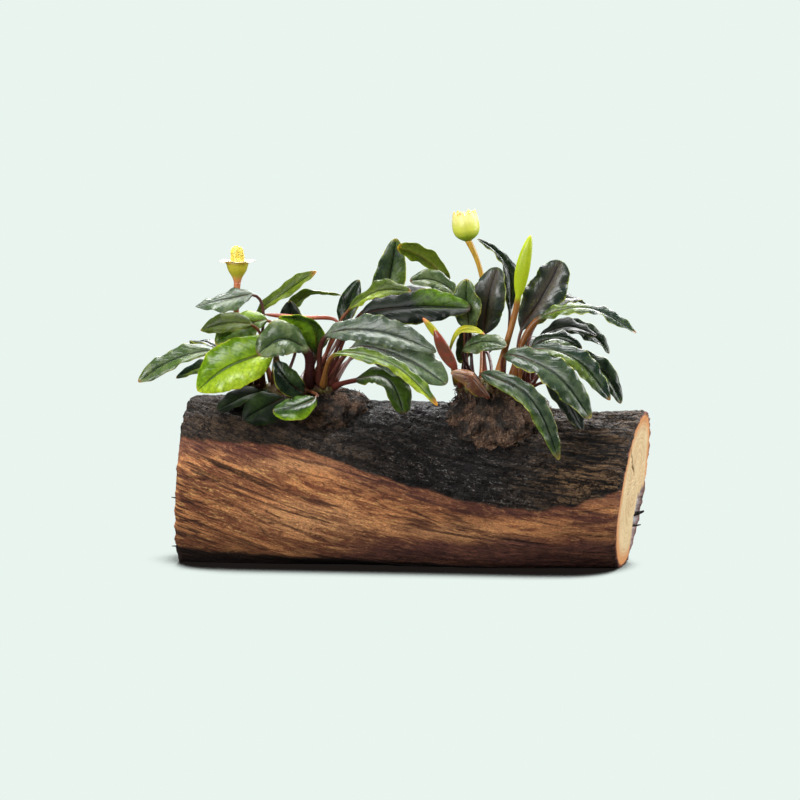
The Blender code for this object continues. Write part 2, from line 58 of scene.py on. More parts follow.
def addCamera():
    right = Vector((math.cos(viewTurn), math.sin(viewTurn), 0.0))
    ahead = Vector((-math.sin(viewTurn) * math.cos(viewLift), math.cos(viewTurn) * math.cos(viewLift),
                    -math.sin(viewLift)))
    up = right.cross(ahead)
    aim = Vector(seenPoint(photoView["right"], photoView["up"], 0.0))
    place = (aim - ahead * photoView["distance"]) * mm
    camera = bpy.data.objects.new("photoCamera", bpy.data.cameras.new("photoCamera"))
    camera.data.lens = photoView["lens"]
    turned = Matrix((right, up, -ahead)).transposed().to_4x4()
    camera.matrix_world = Matrix.Translation(place) @ turned
    bpy.context.scene.collection.objects.link(camera)
    bpy.context.scene.camera = camera


# Small helpers for shader trees: a value or a socket may be fed to any input.
def feed(tree, socket, value):
    if isinstance(value, bpy.types.NodeSocket):
        tree.links.new(value, socket)
    elif socket.type == "RGBA":
        socket.default_value = (*value, 1.0)
    else:
        socket.default_value = value


def feedAll(tree, node, values):
    for name, value in values.items():
        feed(tree, node.inputs[name], value)


def addNode(tree, kind, inputs=None, **settings):
    node = tree.nodes.new(kind)
    for name, value in settings.items():
        setattr(node, name, value)
    feedAll(tree, node, inputs or {})
    return node


def calc(tree, operation, first, second=0.0):
    node = addNode(tree, "ShaderNodeMath", operation=operation)
    feed(tree, node.inputs[0], first)
    feed(tree, node.inputs[1], second)
    return node.outputs[0]


def times(tree, first, second):
    return calc(tree, "MULTIPLY", first, second)


def plus(tree, first, second):
    return calc(tree, "ADD", first, second)


def minus(tree, first, second):
    return calc(tree, "SUBTRACT", first, second)


def rise(tree, value, low, high, start=0.0, end=1.0):
    facts = {"Value": value, "From Min": low, "From Max": high, "To Min": start, "To Max": end}
    return addNode(tree, "ShaderNodeMapRange", facts, interpolation_type="SMOOTHSTEP").outputs["Result"]


def blendColour(tree, share, first, second, kind="MIX"):
    node = addNode(tree, "ShaderNodeMix", data_type="RGBA", blend_type=kind)
    feed(tree, node.inputs[0], share)
    feed(tree, node.inputs[6], first)
    feed(tree, node.inputs[7], second)
    return node.outputs[2]


def shaded(tree, colour, light):
    # The colour made darker or lighter.
    grey = addNode(tree, "ShaderNodeCombineColor", {"Red": light, "Green": light, "Blue": light})
    return blendColour(tree, 1.0, colour, grey.outputs[0], "MULTIPLY")


def cloud(tree, place, scale, detail=3.0, roughness=0.55, swirl=0.0):
    facts = {"Vector": place, "Scale": scale, "Detail": detail, "Roughness": roughness, "Distortion": swirl}
    return addNode(tree, "ShaderNodeTexNoise", facts).outputs["Fac"]


def crackle(tree, place, width):
    # Thin lines between cells: one in the middle of a line, nothing away from it.
    facts = {"Vector": place, "Scale": 1.0}
    cells = addNode(tree, "ShaderNodeTexVoronoi", facts, feature="DISTANCE_TO_EDGE")
    return rise(tree, cells.outputs["Distance"], 0.0, width, 1.0, 0.0)


def stretched(tree, place, x, y, z):
    # The same place with each of its directions scaled on its own.
    node = addNode(tree, "ShaderNodeVectorMath", operation="MULTIPLY")
    feed(tree, node.inputs[0], place)
    feed(tree, node.inputs[1], (x, y, z))
    return node.outputs["Vector"]


def marked(tree, name, output="Fac"):
    # What a mesh was marked with by meshPiece.
    node = addNode(tree, "ShaderNodeAttribute", attribute_name=name, attribute_type="GEOMETRY")
    return node.outputs[output]


def objectPlace(tree):
    return addNode(tree, "ShaderNodeTexCoord").outputs["Object"]


def newGroup(name, inputs, outputs):
    group = bpy.data.node_groups.new(name, "ShaderNodeTree")
    for label, kind, value in inputs:
        socket = group.interface.new_socket(label, in_out="INPUT", socket_type=kind)
        socket.default_value = value
    for label, kind in outputs:
        group.interface.new_socket(label, in_out="OUTPUT", socket_type=kind)
    return group, group.nodes.new("NodeGroupInput").outputs, group.nodes.new("NodeGroupOutput").inputs


def newMaterial(name):
    material = bpy.data.materials.new(name)
    material.use_nodes = True
    tree = material.node_tree
    return material, tree, tree.nodes["Principled BSDF"]


def addBump(tree, shader, height, distance, strength=1.0):
    # The distance is in millimetres.
    facts = {"Height": height, "Distance": distance * mm, "Strength": strength}
    tree.links.new(addNode(tree, "ShaderNodeBump", facts).outputs["Normal"], shader.inputs["Normal"])


def addGlow(shader, weight, radius, scale):
    # Light that comes through thin parts. The scale is in millimetres.
    shader.inputs["Subsurface Weight"].default_value = weight
    shader.inputs["Subsurface Radius"].default_value = radius
    shader.inputs["Subsurface Scale"].default_value = scale * mm


# Makes one closed mesh with float or vector attributes, its faces pointing outwards.
def meshPiece(name, points, faces, materials, marks=None, faceMaterials=None):
    points = np.asarray(points, dtype=float)
    mesh = bpy.data.meshes.new(name)
    mesh.from_pydata((points * mm).tolist(), [], faces)
    for label, values in (marks or {}).items():
        values = np.asarray(values, dtype=np.float32)
        several = values.ndim == 2
        layer = mesh.attributes.new(label, "FLOAT_VECTOR" if several else "FLOAT", "POINT")
        layer.data.foreach_set("vector" if several else "value", values.ravel())
    for material in materials:
        mesh.materials.append(material)
    if faceMaterials is not None:
        mesh.polygons.foreach_set("material_index", faceMaterials)
    mesh.shade_smooth()
    mesh.calc_loop_triangles()
    corners = np.zeros(len(mesh.loop_triangles) * 3, np.int32)
    mesh.loop_triangles.foreach_get("vertices", corners)
    a, b, c = (points[corners[number::3]] for number in range(3))
    if np.einsum("ij,ij->i", a, np.cross(b, c)).sum() < 0:
        mesh.flip_normals()
    piece = bpy.data.objects.new(name, mesh)
    bpy.context.scene.collection.objects.link(piece)
    return piece


def loftFaces(rings, sides, first=0):
    faces = []
    for ring in range(rings - 1):
        low = first + ring * sides
        for side in range(sides):
            after = (side + 1) % sides
            faces.append((low + side, low + after, low + sides + after, low + sides + side))
    return faces


def closedLoft(rings, sides, first=0):
    # Rings with a flat face at each end.
    faces = loftFaces(rings, sides, first)
    faces.append(tuple(range(first + sides - 1, first - 1, -1)))
    last = first + (rings - 1) * sides
    faces.append(tuple(range(last, last + sides)))
    return faces


def polarLoft(rings, sides):
    # Rings with a pole at each end, which are the last two points.
    faces = loftFaces(rings, sides)
    last = (rings - 1) * sides
    for side in range(sides):
        after = (side + 1) % sides
        faces.append((after, side, rings * sides))
        faces.append((last + side, last + after, rings * sides + 1))
    return faces


def addShell(points, faces, morePoints, moreFaces):
    first = len(points)
    points.extend(morePoints)
    faces.extend(tuple(first + corner for corner in face) for face in moreFaces)


def dress(piece, slot, *nodes):
    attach(piece, "root")
    if nodes:
        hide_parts(*nodes)
    return piece


# Shapes that follow a rule with named inputs are made by a node tree and kept as a plain mesh.
def newShapeTree(name, inputs):
    tree = bpy.data.node_groups.new(name, "GeometryNodeTree")
    tree.interface.new_socket("Geometry", in_out="INPUT", socket_type="NodeSocketGeometry")
    for label in inputs:
        kind = "NodeSocketInt" if label == "Seed" else "NodeSocketFloat"
        tree.interface.new_socket(label, in_out="INPUT", socket_type=kind)
    tree.interface.new_socket("Geometry", in_out="OUTPUT", socket_type="NodeSocketGeometry")
    return tree, tree.nodes.new("NodeGroupInput").outputs, tree.nodes.new("NodeGroupOutput").inputs


def endShapeTree(tree, given, result, placed, material):
    # Gives the real copies their material and joins them with the mesh that they lie on.
    coloured = addNode(tree, "GeometryNodeSetMaterial", {"Geometry": placed, "Material": material})
    both = tree.nodes.new("GeometryNodeJoinGeometry")
    tree.links.new(coloured.outputs[0], both.inputs[0])
    tree.links.new(given["Geometry"], both.inputs[0])
    tree.links.new(both.outputs[0], result["Geometry"])


def runShapeTree(piece, tree, values):
    modifier = piece.modifiers.new("repeats", "NODES")
    modifier.node_group = tree
    for item in tree.interface.items_tree:
        if item.item_type == "SOCKET" and item.in_out == "INPUT" and item.name in values:
            modifier[item.identifier] = values[item.name]
    depsgraph = bpy.context.evaluated_depsgraph_get()
    mesh = bpy.data.meshes.new_from_object(piece.evaluated_get(depsgraph))
    piece.modifiers.remove(modifier)
    piece.data = mesh
    return piece


# Floor with a contact shadow painted into its glow, sky and studio lights.
studio = {
    "floorColour": (0.815, 0.905, 0.863),
    "shadowReach": 30.0,
    "shadowFrom": 0.46,
    "shadowTo": 0.72,
    "skyStrength": 0.25,
    "skyInGloss": 0.06,
    "floorBounce": 0.16,
    "lamps": {
        "backSoftbox": {"at": (60, 620, 560), "size": (760, 340), "power": 13.0},
        "topSoftbox": {"at": (-60, 60, 760), "size": (420, 360), "power": 8.0},
        "frontFill": {"at": (-420, -900, 420), "size": (600, 500), "power": 12.0},
        "rightStrip": {"at": (620, 120, 260), "size": (220, 420), "power": 4.5},
    },
}


def addFloor():
    material, tree, shader = newMaterial("paleFloor")
    tree.nodes.remove(shader)
    # The floor glows evenly. A contact shadow is painted into that glow where ambient occlusion finds the log
    # near, made fainter past the log's right end.
    reach = {"Distance": studio["shadowReach"] * mm}
    nearness = addNode(tree, "ShaderNodeAmbientOcclusion", reach, samples=16).outputs["AO"]
    alongX = addNode(tree, "ShaderNodeSeparateXYZ", {"Vector": objectPlace(tree)}).outputs["X"]
    lighter = rise(tree, alongX, 0.050, 0.080, 0.0, 0.26)
    nearness = plus(tree, nearness, lighter)
    open_ = rise(tree, nearness, studio["shadowFrom"], studio["shadowTo"])
    colour = blendColour(tree, open_, (0.012, 0.010, 0.009), studio["floorColour"])
    seen = addNode(tree, "ShaderNodeLightPath").outputs["Is Camera Ray"]
    strength = rise(tree, seen, 0.0, 1.0, studio["floorBounce"], 1.0)
    glow = addNode(tree, "ShaderNodeEmission", {"Color": colour, "Strength": strength})
    tree.links.new(glow.outputs[0], tree.nodes["Material Output"].inputs["Surface"])
    reach = 12000.0
    corners = [(-reach, -reach, -0.05), (3 * reach, -reach, -0.05), (-reach, 3 * reach, -0.05)]
    floor = meshPiece("paleFloor", corners, [(0, 1, 2)], [material])


def addSky():
    world = bpy.data.worlds.new("studioSky")
    world.use_nodes = True
    tree = world.node_tree
    rays = addNode(tree, "ShaderNodeLightPath").outputs
    strength = rise(tree, rays["Is Glossy Ray"], 0.0, 1.0, studio["skyStrength"], studio["skyInGloss"])
    strength = rise(tree, rays["Is Camera Ray"], 0.0, 1.0, strength, 1.0)
    feedAll(tree, tree.nodes["Background"], {"Color": studio["floorColour"], "Strength": strength})
    bpy.context.scene.world = world


def addLamps():
    aim = Vector((0.0, 0.0, 0.045))
    for name, facts in studio["lamps"].items():
        lamp = bpy.data.lights.new(name, "AREA")
        lamp.shape = "RECTANGLE"
        lamp.size = facts["size"][0] * mm
        lamp.size_y = facts["size"][1] * mm
        lamp.energy = facts["power"]
        item = bpy.data.objects.new(name, lamp)
        item.location = Vector(facts["at"]) * mm
        item.rotation_euler = (item.location - aim).to_track_quat("Z", "Y").to_euler()
        item.visible_camera = False
        bpy.context.scene.collection.objects.link(item)


addCamera()
addFloor()
addSky()
addLamps()
bpy.context.scene.view_settings.view_transform = "Standard"
print("camera, floor and lights are set")

# The log: a rough round bar, lower at its right end, with both ends sawn a little askew.
log = {
    "middle": -2.0,
    "halfWidth": 23.6,
    "widthTaper": 0.0085,
    "sink": 1.2,
    "topX": (-70.0, -5.0, 14.0, 53.0, 70.0),
    "topZ": (50.1, 48.3, 47.0, 46.0, 46.6),
    "leftCut": (-70.0, -0.04, 0.065),
    "rightCut": (63.6, 0.07, 0.145),
    "rows": 270,
    "sides": 288,
    "capRings": 30,
    "pith": (1.5, 25.0),
    "grainRadius": 24.0,
}


def barkRelief(x, lean):
    ridges = 0.45 * math.sin(3.0 * lean + 0.03 * x + 0.6)
    ledges = 0.30 * math.sin(5.0 * lean - 0.05 * x + 1.3)
    swells = 0.25 * math.sin(0.09 * x + 2.0 * lean)
    return ridges + ledges + swells


def logPoint(x, lean, height=0.0):
    # lean is the angle from the top of the log towards the front, in radians.
    halfTall = (np.interp(x, log["topX"], log["topZ"]) + log["sink"]) / 2
    halfWide = log["halfWidth"] - log["widthTaper"] * x
    out = barkRelief(x, lean) + height
    y = -(halfWide + out) * math.sin(lean)
    z = halfTall - log["sink"] + (halfTall + out) * math.cos(lean)
    return np.array((x, y, max(z, 0.0)))


def cutX(cut, y, z):
    return cut[0] + cut[1] * y + cut[2] * z


# Dark weathered bark covers the top. Its lower edge, as the lean in degrees at places along the log.
barkEdge = {
    "x": (-70.0, -52.8, -39.2, -24.2, -13.7, -6.1, 1.1, 9.6, 18.1, 26.6, 41.2, 51.8, 56.0, 66.5),
    "front": (57.5, 58.5, 59.0, 64.5, 74.5, 79.0, 83.0, 87.0, 92.0, 95.5, 96.5, 94.5, 89.5, 82.0),
    "back": (-116.0, -124.0, -131.0, -127.0, -119.0, -112.0, -109.0, -115.0, -124.0, -130.0, -122.0,
             -113.0, -117.0, -125.0),
    "frayed": 2.6,
}
# Marks on the log: place along it, lean, and half size along and round it, in millimetres and degrees.
logMarks = {
    "leftBlotch": (6.0, 109.0, 6.5, 10.0),
    "brownBand": (-54.0, 85.0, 15.0, 5.0),
    "mottle": (-13.0, 87.0, 11.0, 7.0),
    "paleWood": (-28.0, 110.0, 20.0, 14.0),
    "yellowWood": (-35.0, 72.0, 13.0, 6.0),
    "goldBand": (14.0, 116.0, 22.0, 7.0),
    "endKnot": (58.0, 103.0, 9.0, 8.0),
    "redEnd": (60.0, 114.0, 19.0, 20.0),
    "rightBlotch": (20.0, 104.0, 9.0, 8.0),
    "redPatch": (4.0, 139.0, 30.0, 17.0),
    "ochrePatch": (55.0, 76.0, 10.0, 11.0),
}
# Each long crack: place along the log and lean where it starts and where it ends, depth, half width.
longCracks = (
    ((-62.0, 69.5), (-38.0, 91.5), 1.0, 0.42),
    ((-50.0, 104.0), (-22.0, 126.0), 0.5, 0.30),
    ((-8.0, 96.0), (12.0, 107.0), 0.45, 0.30),
    ((22.0, 118.0), (50.0, 127.0), 0.6, 0.35),
    ((46.0, 101.0), (66.0, 94.0), 0.6, 0.28),
    ((50.0, 107.0), (66.0, 105.0), 0.5, 0.25),
    ((48.0, 114.0), (67.0, 119.0), 0.6, 0.28),
    ((-68.0, 82.0), (-54.0, 86.0), 0.6, 0.25),
    ((-69.0, 98.0), (-52.0, 103.0), 0.6, 0.28),
    ((-69.0, 112.0), (-56.0, 116.0), 0.5, 0.25),
    ((-30.0, 36.0), (-4.0, 44.0), 0.8, 0.35),
    ((2.0, 58.0), (40.0, 72.0), 0.9, 0.40),
    ((-66.0, 24.0), (-46.0, 32.0), 0.7, 0.35),
    ((40.0, 40.0), (64.0, 47.0), 0.9, 0.40),
    ((-40.0, -60.0), (10.0, -42.0), 0.9, 0.40),
    ((5.0, -100.0), (50.0, -84.0), 0.9, 0.40),
)
# Splits in the sawn ends: angle round from the top towards the front, and the stretch from the pith.
endSplits = {
    "right": ({"angle": 50.0, "from": 0.22, "to": 0.97, "half": 0.26, "depth": 1.3},
              {"angle": 98.0, "from": 0.10, "to": 0.48, "half": 0.18, "depth": 0.7},
              {"angle": -62.0, "from": 0.30, "to": 0.72, "half": 0.20, "depth": 0.8}),
    "left": ({"angle": 18.0, "from": 0.04, "to": 0.90, "half": 0.28, "depth": 1.3},
             {"angle": 152.0, "from": 0.08, "to": 0.55, "half": 0.20, "depth": 0.8},
             {"angle": -100.0, "from": 0.45, "to": 1.02, "half": 0.24, "depth": 1.0}),
}
# Where the darker red wood and the almost black painted shade of the underside start, as the lean in
# degrees along the log.
redWoodStart = {"x": (-70.0, -20.0, 0.0, 12.0, 64.0), "lean": (146.0, 138.0, 127.0, 117.0, 114.0)}
undersideStart = {"x": (-70.0, -20.0, 20.0, 60.0), "lean": (138.0, 143.0, 150.0, 160.0)}
chippedCorner = {"angle": -118.0, "halfAngle": 34.0, "from": 0.45, "depth": 1.6}
degreeRun = 0.415  # millimetres round the bark for each degree


def grainDrop(x):
    # How far the grain has crept round the log, in radians: steeper at the left.
    return (0.23 * x - 0.001 * x * x) / log["grainRadius"]


def bump01(value, half):
    return math.exp(-((value / half) ** 2))


def markAmount(name, x, lean):
    middleX, middleLean, halfX, halfLean = logMarks[name]
    along = (x - middleX) / halfX
    round_ = (math.degrees(lean) - middleLean) / halfLean
    return math.exp(-(along * along + round_ * round_) ** 1.5)


def rednessAt(x, lean):
    # Darker red-brown wood: next to the bark, round the underside, and in one wide patch.
    degrees = math.degrees(lean)
    wander = 9.0 * noise.noise(Vector((x / 14, degrees / 40, 4.0)))
    start = np.interp(x, redWoodStart["x"], redWoodStart["lean"])
    under = min(1.0, max(0.0, (degrees + wander - start) / 9.0))
    behind = min(1.0, max(0.0, (-degrees + wander - 125.0) / 30.0))
    besideBark = 0.75 * bump01(degrees + wander - np.interp(x, barkEdge["x"], barkEdge["front"]) - 3.0, 8.0)
    knot = max(0.8 * markAmount("endKnot", x, lean), 0.5 * markAmount("redEnd", x, lean))
    return min(1.0, max(under, behind, besideBark, knot, markAmount("redPatch", x, lean)))


def undersideAt(x, lean):
    # The almost black painted shade on the underside starts higher up at the left end.
    degrees = abs(math.degrees(lean)) + 3.0 * noise.noise(Vector((x / 9, lean * 4, 2.0)))
    start = np.interp(x, undersideStart["x"], undersideStart["lean"])
    return min(1.0, max(0.0, (degrees - start) / 4.0))


def longCrackDepth(x, lean):
    deepest = 0.0
    for (startX, startLean), (endX, endLean), depth, half in longCracks:
        share = (x - startX) / (endX - startX)
        if -0.05 < share < 1.05:
            wander = 1.3 * noise.noise(Vector((x * 0.22, startX, 2.0)))
            middle = startLean + (endLean - startLean) * share + wander
            away = (math.degrees(lean) - middle) * degreeRun
            swell = max(0.0, math.sin(math.pi * min(max(share, 0.0), 1.0))) ** 0.6
            deepest = max(deepest, depth * swell * bump01(away, half))
    return deepest


def logSurface(x, lean):
    # Relief over the plain log, the share of bark, how much painted shade the place gets in cracks,
    # crevices and under the bark's lip, and the grain's own place.
    turned = lean - grainDrop(x)
    grain = (x, -log["grainRadius"] * math.sin(turned), log["grainRadius"] * math.cos(turned))
    edge = np.interp(x, barkEdge["x"], barkEdge["front"])
    ragged = barkEdge["frayed"] * noise.fractal(Vector((x / 9, grain[1] / 3, grain[2] / 3)), 0.8, 2.0, 3)
    degrees = math.degrees(lean)
    front = edge + ragged - degrees
    back = degrees - np.interp(x, barkEdge["x"], barkEdge["back"]) - 1.6 * ragged
    bark = min(1.0, max(0.0, min(front, back) / 4.0 + 0.5))
    lip = (0.5 + noise.noise(Vector((x / 7, 3.0, degrees / 30)))) * bump01(front - 3.0, 2.6)
    fibre = noise.fractal(Vector((x / 15, grain[1] / 1.2, grain[2] / 1.2)), 0.7, 2.1, 4)
    swell = noise.noise(Vector((x / 26 + 4, grain[1] / 6, grain[2] / 6)))
    coarse = noise.fractal(Vector((x / 5, grain[1] / 0.9, grain[2] / 0.9 + 11)), 0.7, 2.1, 3)
    bare = 0.16 * fibre + 0.35 * swell + 0.10 * coarse
    check = noise.noise(Vector((x / 24 + 9, grain[1] / 2.4, grain[2] / 2.4)))
    split = 0.40 * bump01(check, 0.045) * max(0.0, noise.noise(Vector((x / 20, grain[1] / 9, 5.0))) + 0.15)
    bare -= split
    rough = noise.fractal(Vector((x / 4.5, grain[1] / 1.1, grain[2] / 1.1)), 0.75, 2.1, 4)
    crevice = bump01(noise.noise(Vector((x / 9, grain[1] / 1.9, grain[2] / 1.9))), 0.055)
    cross = bump01(noise.noise(Vector((x / 2.0, grain[1] / 5.5, grain[2] / 5.5 + 7))), 0.045)
    ledge = noise.noise(Vector((x / 19, grain[1] / 1.9, grain[2] / 1.9 + 3)))
    ledge += 0.8 * noise.noise(Vector((x / 12, grain[1] / 0.9, grain[2] / 0.9 + 6))) ** 2
    ledge *= min(1.0, max(0.0, (x - 16) / 22))
    barky = 0.34 * rough + 0.40 * swell - 0.60 * crevice - 0.22 * cross + 0.60 * ledge + 0.28 + 0.40 * lip
    long_ = longCrackDepth(x, lean)
    out = bare * (1 - bark) + barky * bark - long_
    # Painted shade in the long cracks, the checks in the bare wood, the bark's crevices and under the bark's
    # lip.
    paintedShade = long_ * 1.6 + split * 2.2 * (1 - bark) + bark * (0.85 * crevice + 0.4 * cross)
    paintedShade = min(1.0, paintedShade + 0.9 * lip * bump01(front + 0.6, 1.6))
    return out, bark, paintedShade, grain


def endRelief(share, y, z, lean, right):
    # How far a sawn end stands in, and how much of it is split or chipped there.
    in_ = 0.12 * noise.noise(Vector((y / 2.5, z / 0.6, 3.0)))
    in_ += 0.25 * noise.noise(Vector((y / 9, z / 9, 8.0)))
    degrees = math.degrees(lean)
    gap = 0.0
    for split in endSplits["right" if right else "left"]:
        turn = degrees - split["angle"] - 5.0 * noise.noise(Vector((share * 5, split["angle"], 1.0)))
        turn = (turn + 180.0) % 360.0 - 180.0
        away = math.radians(turn) * share * log["grainRadius"]
        if split["from"] < share < split["to"] and abs(turn) < 60.0:
            gap = max(gap, bump01(away, split["half"]))
            in_ += split["depth"] * bump01(away, split["half"])
    chip = 0.0
    if right:
        turn = (degrees - chippedCorner["angle"]) / chippedCorner["halfAngle"]
        jag = 0.25 * noise.noise(Vector((y / 3, z / 3, 1.0)))
        edge = (share - chippedCorner["from"]) / (1 - chippedCorner["from"]) + jag
        chip = max(0.0, min(1.0, (edge - abs(turn) ** 2) * 2.0))
        in_ += chip * (chippedCorner["depth"] + 1.2 * noise.noise(Vector((y / 1.5, z / 1.5, 6.0))))
    return in_, gap, chip


# Linear colours of the log: the bare wood, the bark over it, painted shade for the hollows and the
# underside, and painted glints on the bark.
logColours = {
    "deepWood": (0.255, 0.078, 0.034),
    "orangeWood": (0.730, 0.305, 0.115),
    "brownBand": (0.220, 0.070, 0.032),
    "goldWood": (0.760, 0.365, 0.160),
    "paleFleck": (0.92, 0.49, 0.175),
    "darkFleck": (0.085, 0.028, 0.015),
    "darkFibre": (0.075, 0.026, 0.014),
    "darkWisp": (0.060, 0.021, 0.013),
    "endLine": (0.035, 0.013, 0.009),
    "deepRed": (0.048, 0.017, 0.016),
    "paleRed": (0.170, 0.056, 0.042),
    "stain": (0.075, 0.022, 0.014),
    "blackBark": (0.0045, 0.0034, 0.0030),
    "greyBark": (0.034, 0.025, 0.020),
    "barkFibre": (0.085, 0.063, 0.050),
    "barkCrack": (0.0025, 0.002, 0.002),
    "brownBark": (0.042, 0.025, 0.017),
    "ochreBark": (0.265, 0.152, 0.074),
    "ledge": (0.0035, 0.0026, 0.0024),
    "paintedGlint": (0.230, 0.215, 0.205),
    "barkGap": (0.0020, 0.0016, 0.0015),
    "paintedShade": (0.004, 0.0028, 0.0024),
    "underside": (0.010, 0.005, 0.004),
}


def barkAndWoodMaterial():
    # Near-black weathered bark above, bare orange-brown wood with dark streaks below.
    paint = logColours
    material, tree, shader = newMaterial("barkAndBareWood")
    grain = marked(tree, "grain", "Vector")
    labels = ("bark", "paintedShade", "stain", "redness", "ochre", "under", "pale")
    bark, paintedShade, stain, redness, ochre, under, pale = (marked(tree, label) for label in labels)
    alongX = addNode(tree, "ShaderNodeSeparateXYZ", {"Vector": grain}).outputs["X"]
    streak = cloud(tree, stretched(tree, grain, 0.055, 0.36, 0.36), 1.0, 6.0, 0.66, 1.1)
    band = cloud(tree, stretched(tree, grain, 0.022, 0.12, 0.12), 1.0, 3.0, 0.55, 0.8)
    fleck = cloud(tree, stretched(tree, grain, 0.22, 0.95, 0.95), 1.0, 6.0, 0.72, 1.0)
    fibre = cloud(tree, stretched(tree, grain, 0.20, 2.8, 2.8), 1.0, 5.0, 0.72, 0.4)
    grit = cloud(tree, stretched(tree, grain, 1.6, 3.4, 3.4), 1.0, 3.0, 0.7)
    pore = cloud(tree, stretched(tree, grain, 0.8, 5.5, 5.5), 1.0, 2.0, 0.6)
    wood = blendColour(tree, rise(tree, streak, 0.40, 0.58), paint["deepWood"], paint["orangeWood"])
    wood = blendColour(tree, rise(tree, band, 0.46, 0.60, 0.0, 0.9), wood, paint["brownBand"])
    brighter = times(tree, pale, rise(tree, streak, 0.36, 0.56, 0.15, 0.80))
    wood = blendColour(tree, brighter, wood, paint["goldWood"])
    wood = blendColour(tree, rise(tree, fleck, 0.52, 0.64, 0.0, 0.75), wood, paint["paleFleck"])
    calm = rise(tree, band, 0.38, 0.50, 0.35, 1.0)
    darkFleck = times(tree, rise(tree, fleck, 0.34, 0.46, 0.9, 0.0), calm)
    wood = blendColour(tree, darkFleck, wood, paint["darkFleck"])
    darkFibre = times(tree, rise(tree, fibre, 0.36, 0.47, 0.7, 0.0), calm)
    wood = blendColour(tree, darkFibre, wood, paint["darkFibre"])
    wisp = cloud(tree, stretched(tree, grain, 0.032, 0.50, 0.50), 1.0, 4.0, 0.55, 0.7)
    wood = blendColour(tree, rise(tree, wisp, 0.355, 0.42, 0.8, 0.0), wood, paint["darkWisp"])
    leftEnd = rise(tree, alongX, -66.0, -38.0, 1.0, 0.0)
    lines = cloud(tree, stretched(tree, grain, 0.10, 1.5, 1.5), 1.0, 3.0, 0.6, 0.3)
    lines = rise(tree, lines, 0.40, 0.46, 0.8, 0.0)
    wood = blendColour(tree, times(tree, lines, leftEnd), wood, paint["endLine"])
    red = blendColour(tree, rise(tree, fleck, 0.38, 0.62), paint["deepRed"], paint["paleRed"])
    wood = blendColour(tree, times(tree, redness, 0.88), wood, red)
    patchy = times(tree, stain, rise(tree, streak, 0.36, 0.58, 0.95, 0.35))
    wood = blendColour(tree, patchy, wood, paint["stain"])
    ash = cloud(tree, stretched(tree, grain, 0.14, 0.55, 0.55), 1.0, 5.0, 0.7, 0.6)
    dark = blendColour(tree, rise(tree, ash, 0.42, 0.64), paint["blackBark"], paint["greyBark"])
    dark = blendColour(tree, rise(tree, fibre, 0.54, 0.68, 0.0, 0.6), dark, paint["barkFibre"])
    warped = addNode(tree, "ShaderNodeVectorMath", operation="ADD")
    feed(tree, warped.inputs[0], stretched(tree, grain, 0.26, 0.62, 0.62))
    wobble = addNode(tree, "ShaderNodeTexNoise", {"Vector": grain, "Scale": 0.45, "Detail": 3.0})
    feed(tree, warped.inputs[1], stretched(tree, wobble.outputs["Color"], 1.6, 1.6, 1.6))
    cracks = crackle(tree, warped.outputs["Vector"], 0.10)
    crackShare = times(tree, cracks, rise(tree, ash, 0.36, 0.52))
    dark = blendColour(tree, times(tree, crackShare, 0.9), dark, paint["barkCrack"])
    brown = blendColour(tree, rise(tree, fleck, 0.40, 0.60), paint["brownBark"], paint["ochreBark"])
    dark = blendColour(tree, times(tree, ochre, rise(tree, fibre, 0.34, 0.54, 0.35, 1.5)), dark, brown)
    ledgeLine = cloud(tree, stretched(tree, grain, 0.085, 1.15, 1.15), 1.0, 4.0, 0.6, 0.4)
    ledgeLine = times(tree, rise(tree, ledgeLine, 0.42, 0.48, 0.92, 0.0), rise(tree, alongX, 12.0, 30.0))
    dark = blendColour(tree, ledgeLine, dark, paint["ledge"])
    ragged = plus(tree, bark, times(tree, minus(tree, fleck, 0.5), 1.1))
    barkShare = rise(tree, ragged, 0.22, 0.78)
    middle = times(tree, rise(tree, alongX, -48.0, -20.0), rise(tree, alongX, 36.0, 52.0, 1.0, 0.0))
    # Painted glints: pale specks laid into the bark's colour in the middle of the log.
    paintedGlint = cloud(tree, stretched(tree, grain, 1.0, 1.9, 1.9), 1.0, 4.0, 0.8)
    paintedGlint = times(tree, rise(tree, paintedGlint, 0.56, 0.62, 0.0, 0.95), rise(tree, ash, 0.42, 0.54))
    paintedGlint = times(tree, paintedGlint, rise(tree, band, 0.38, 0.56, 0.15, 1.0))
    dark = blendColour(tree, times(tree, paintedGlint, middle), dark, paint["paintedGlint"])
    wide = addNode(tree, "ShaderNodeVectorMath", operation="ADD")
    feed(tree, wide.inputs[0], stretched(tree, grain, 0.10, 0.27, 0.27))
    feed(tree, wide.inputs[1], stretched(tree, wobble.outputs["Color"], 1.1, 1.1, 1.1))
    gaps = times(tree, crackle(tree, wide.outputs["Vector"], 0.045), 0.95)
    dark = blendColour(tree, gaps, dark, paint["barkGap"])
    colour = blendColour(tree, barkShare, wood, dark)
    # Painted shade darkens the cracks, the crevices and the place under the bark's lip.
    colour = blendColour(tree, times(tree, paintedShade, 0.9), colour, paint["paintedShade"])
    # Painted shade: the underside is turned almost black.
    colour = blendColour(tree, times(tree, under, 0.93), colour, paint["underside"])
    light = rise(tree, grit, 0.30, 0.70, 0.62, 1.36)
    colour = shaded(tree, colour, light)
    wet = rise(tree, cloud(tree, stretched(tree, grain, 0.7, 1.5, 1.5), 1.0, 4.0, 0.75), 0.50, 0.62)
    glint = times(tree, wet, times(tree, bark, middle))
    dull, glossy = (0.70, 0.70, 0.70), (0.22, 0.22, 0.22)
    rough = blendColour(tree, glint, dull, glossy)
    feedAll(tree, shader, {"Base Color": colour, "Roughness": rough, "Specular IOR Level": 0.30})
    height = plus(tree, times(tree, fibre, 1.0), times(tree, pore, 0.35))
    height = plus(tree, height, times(tree, grit, 0.7))
    crevices = times(tree, plus(tree, crackShare, times(tree, gaps, 1.4)), bark)
    height = minus(tree, height, times(tree, crevices, 0.8))
    addBump(tree, shader, height, 0.65, 1.0)
    return material


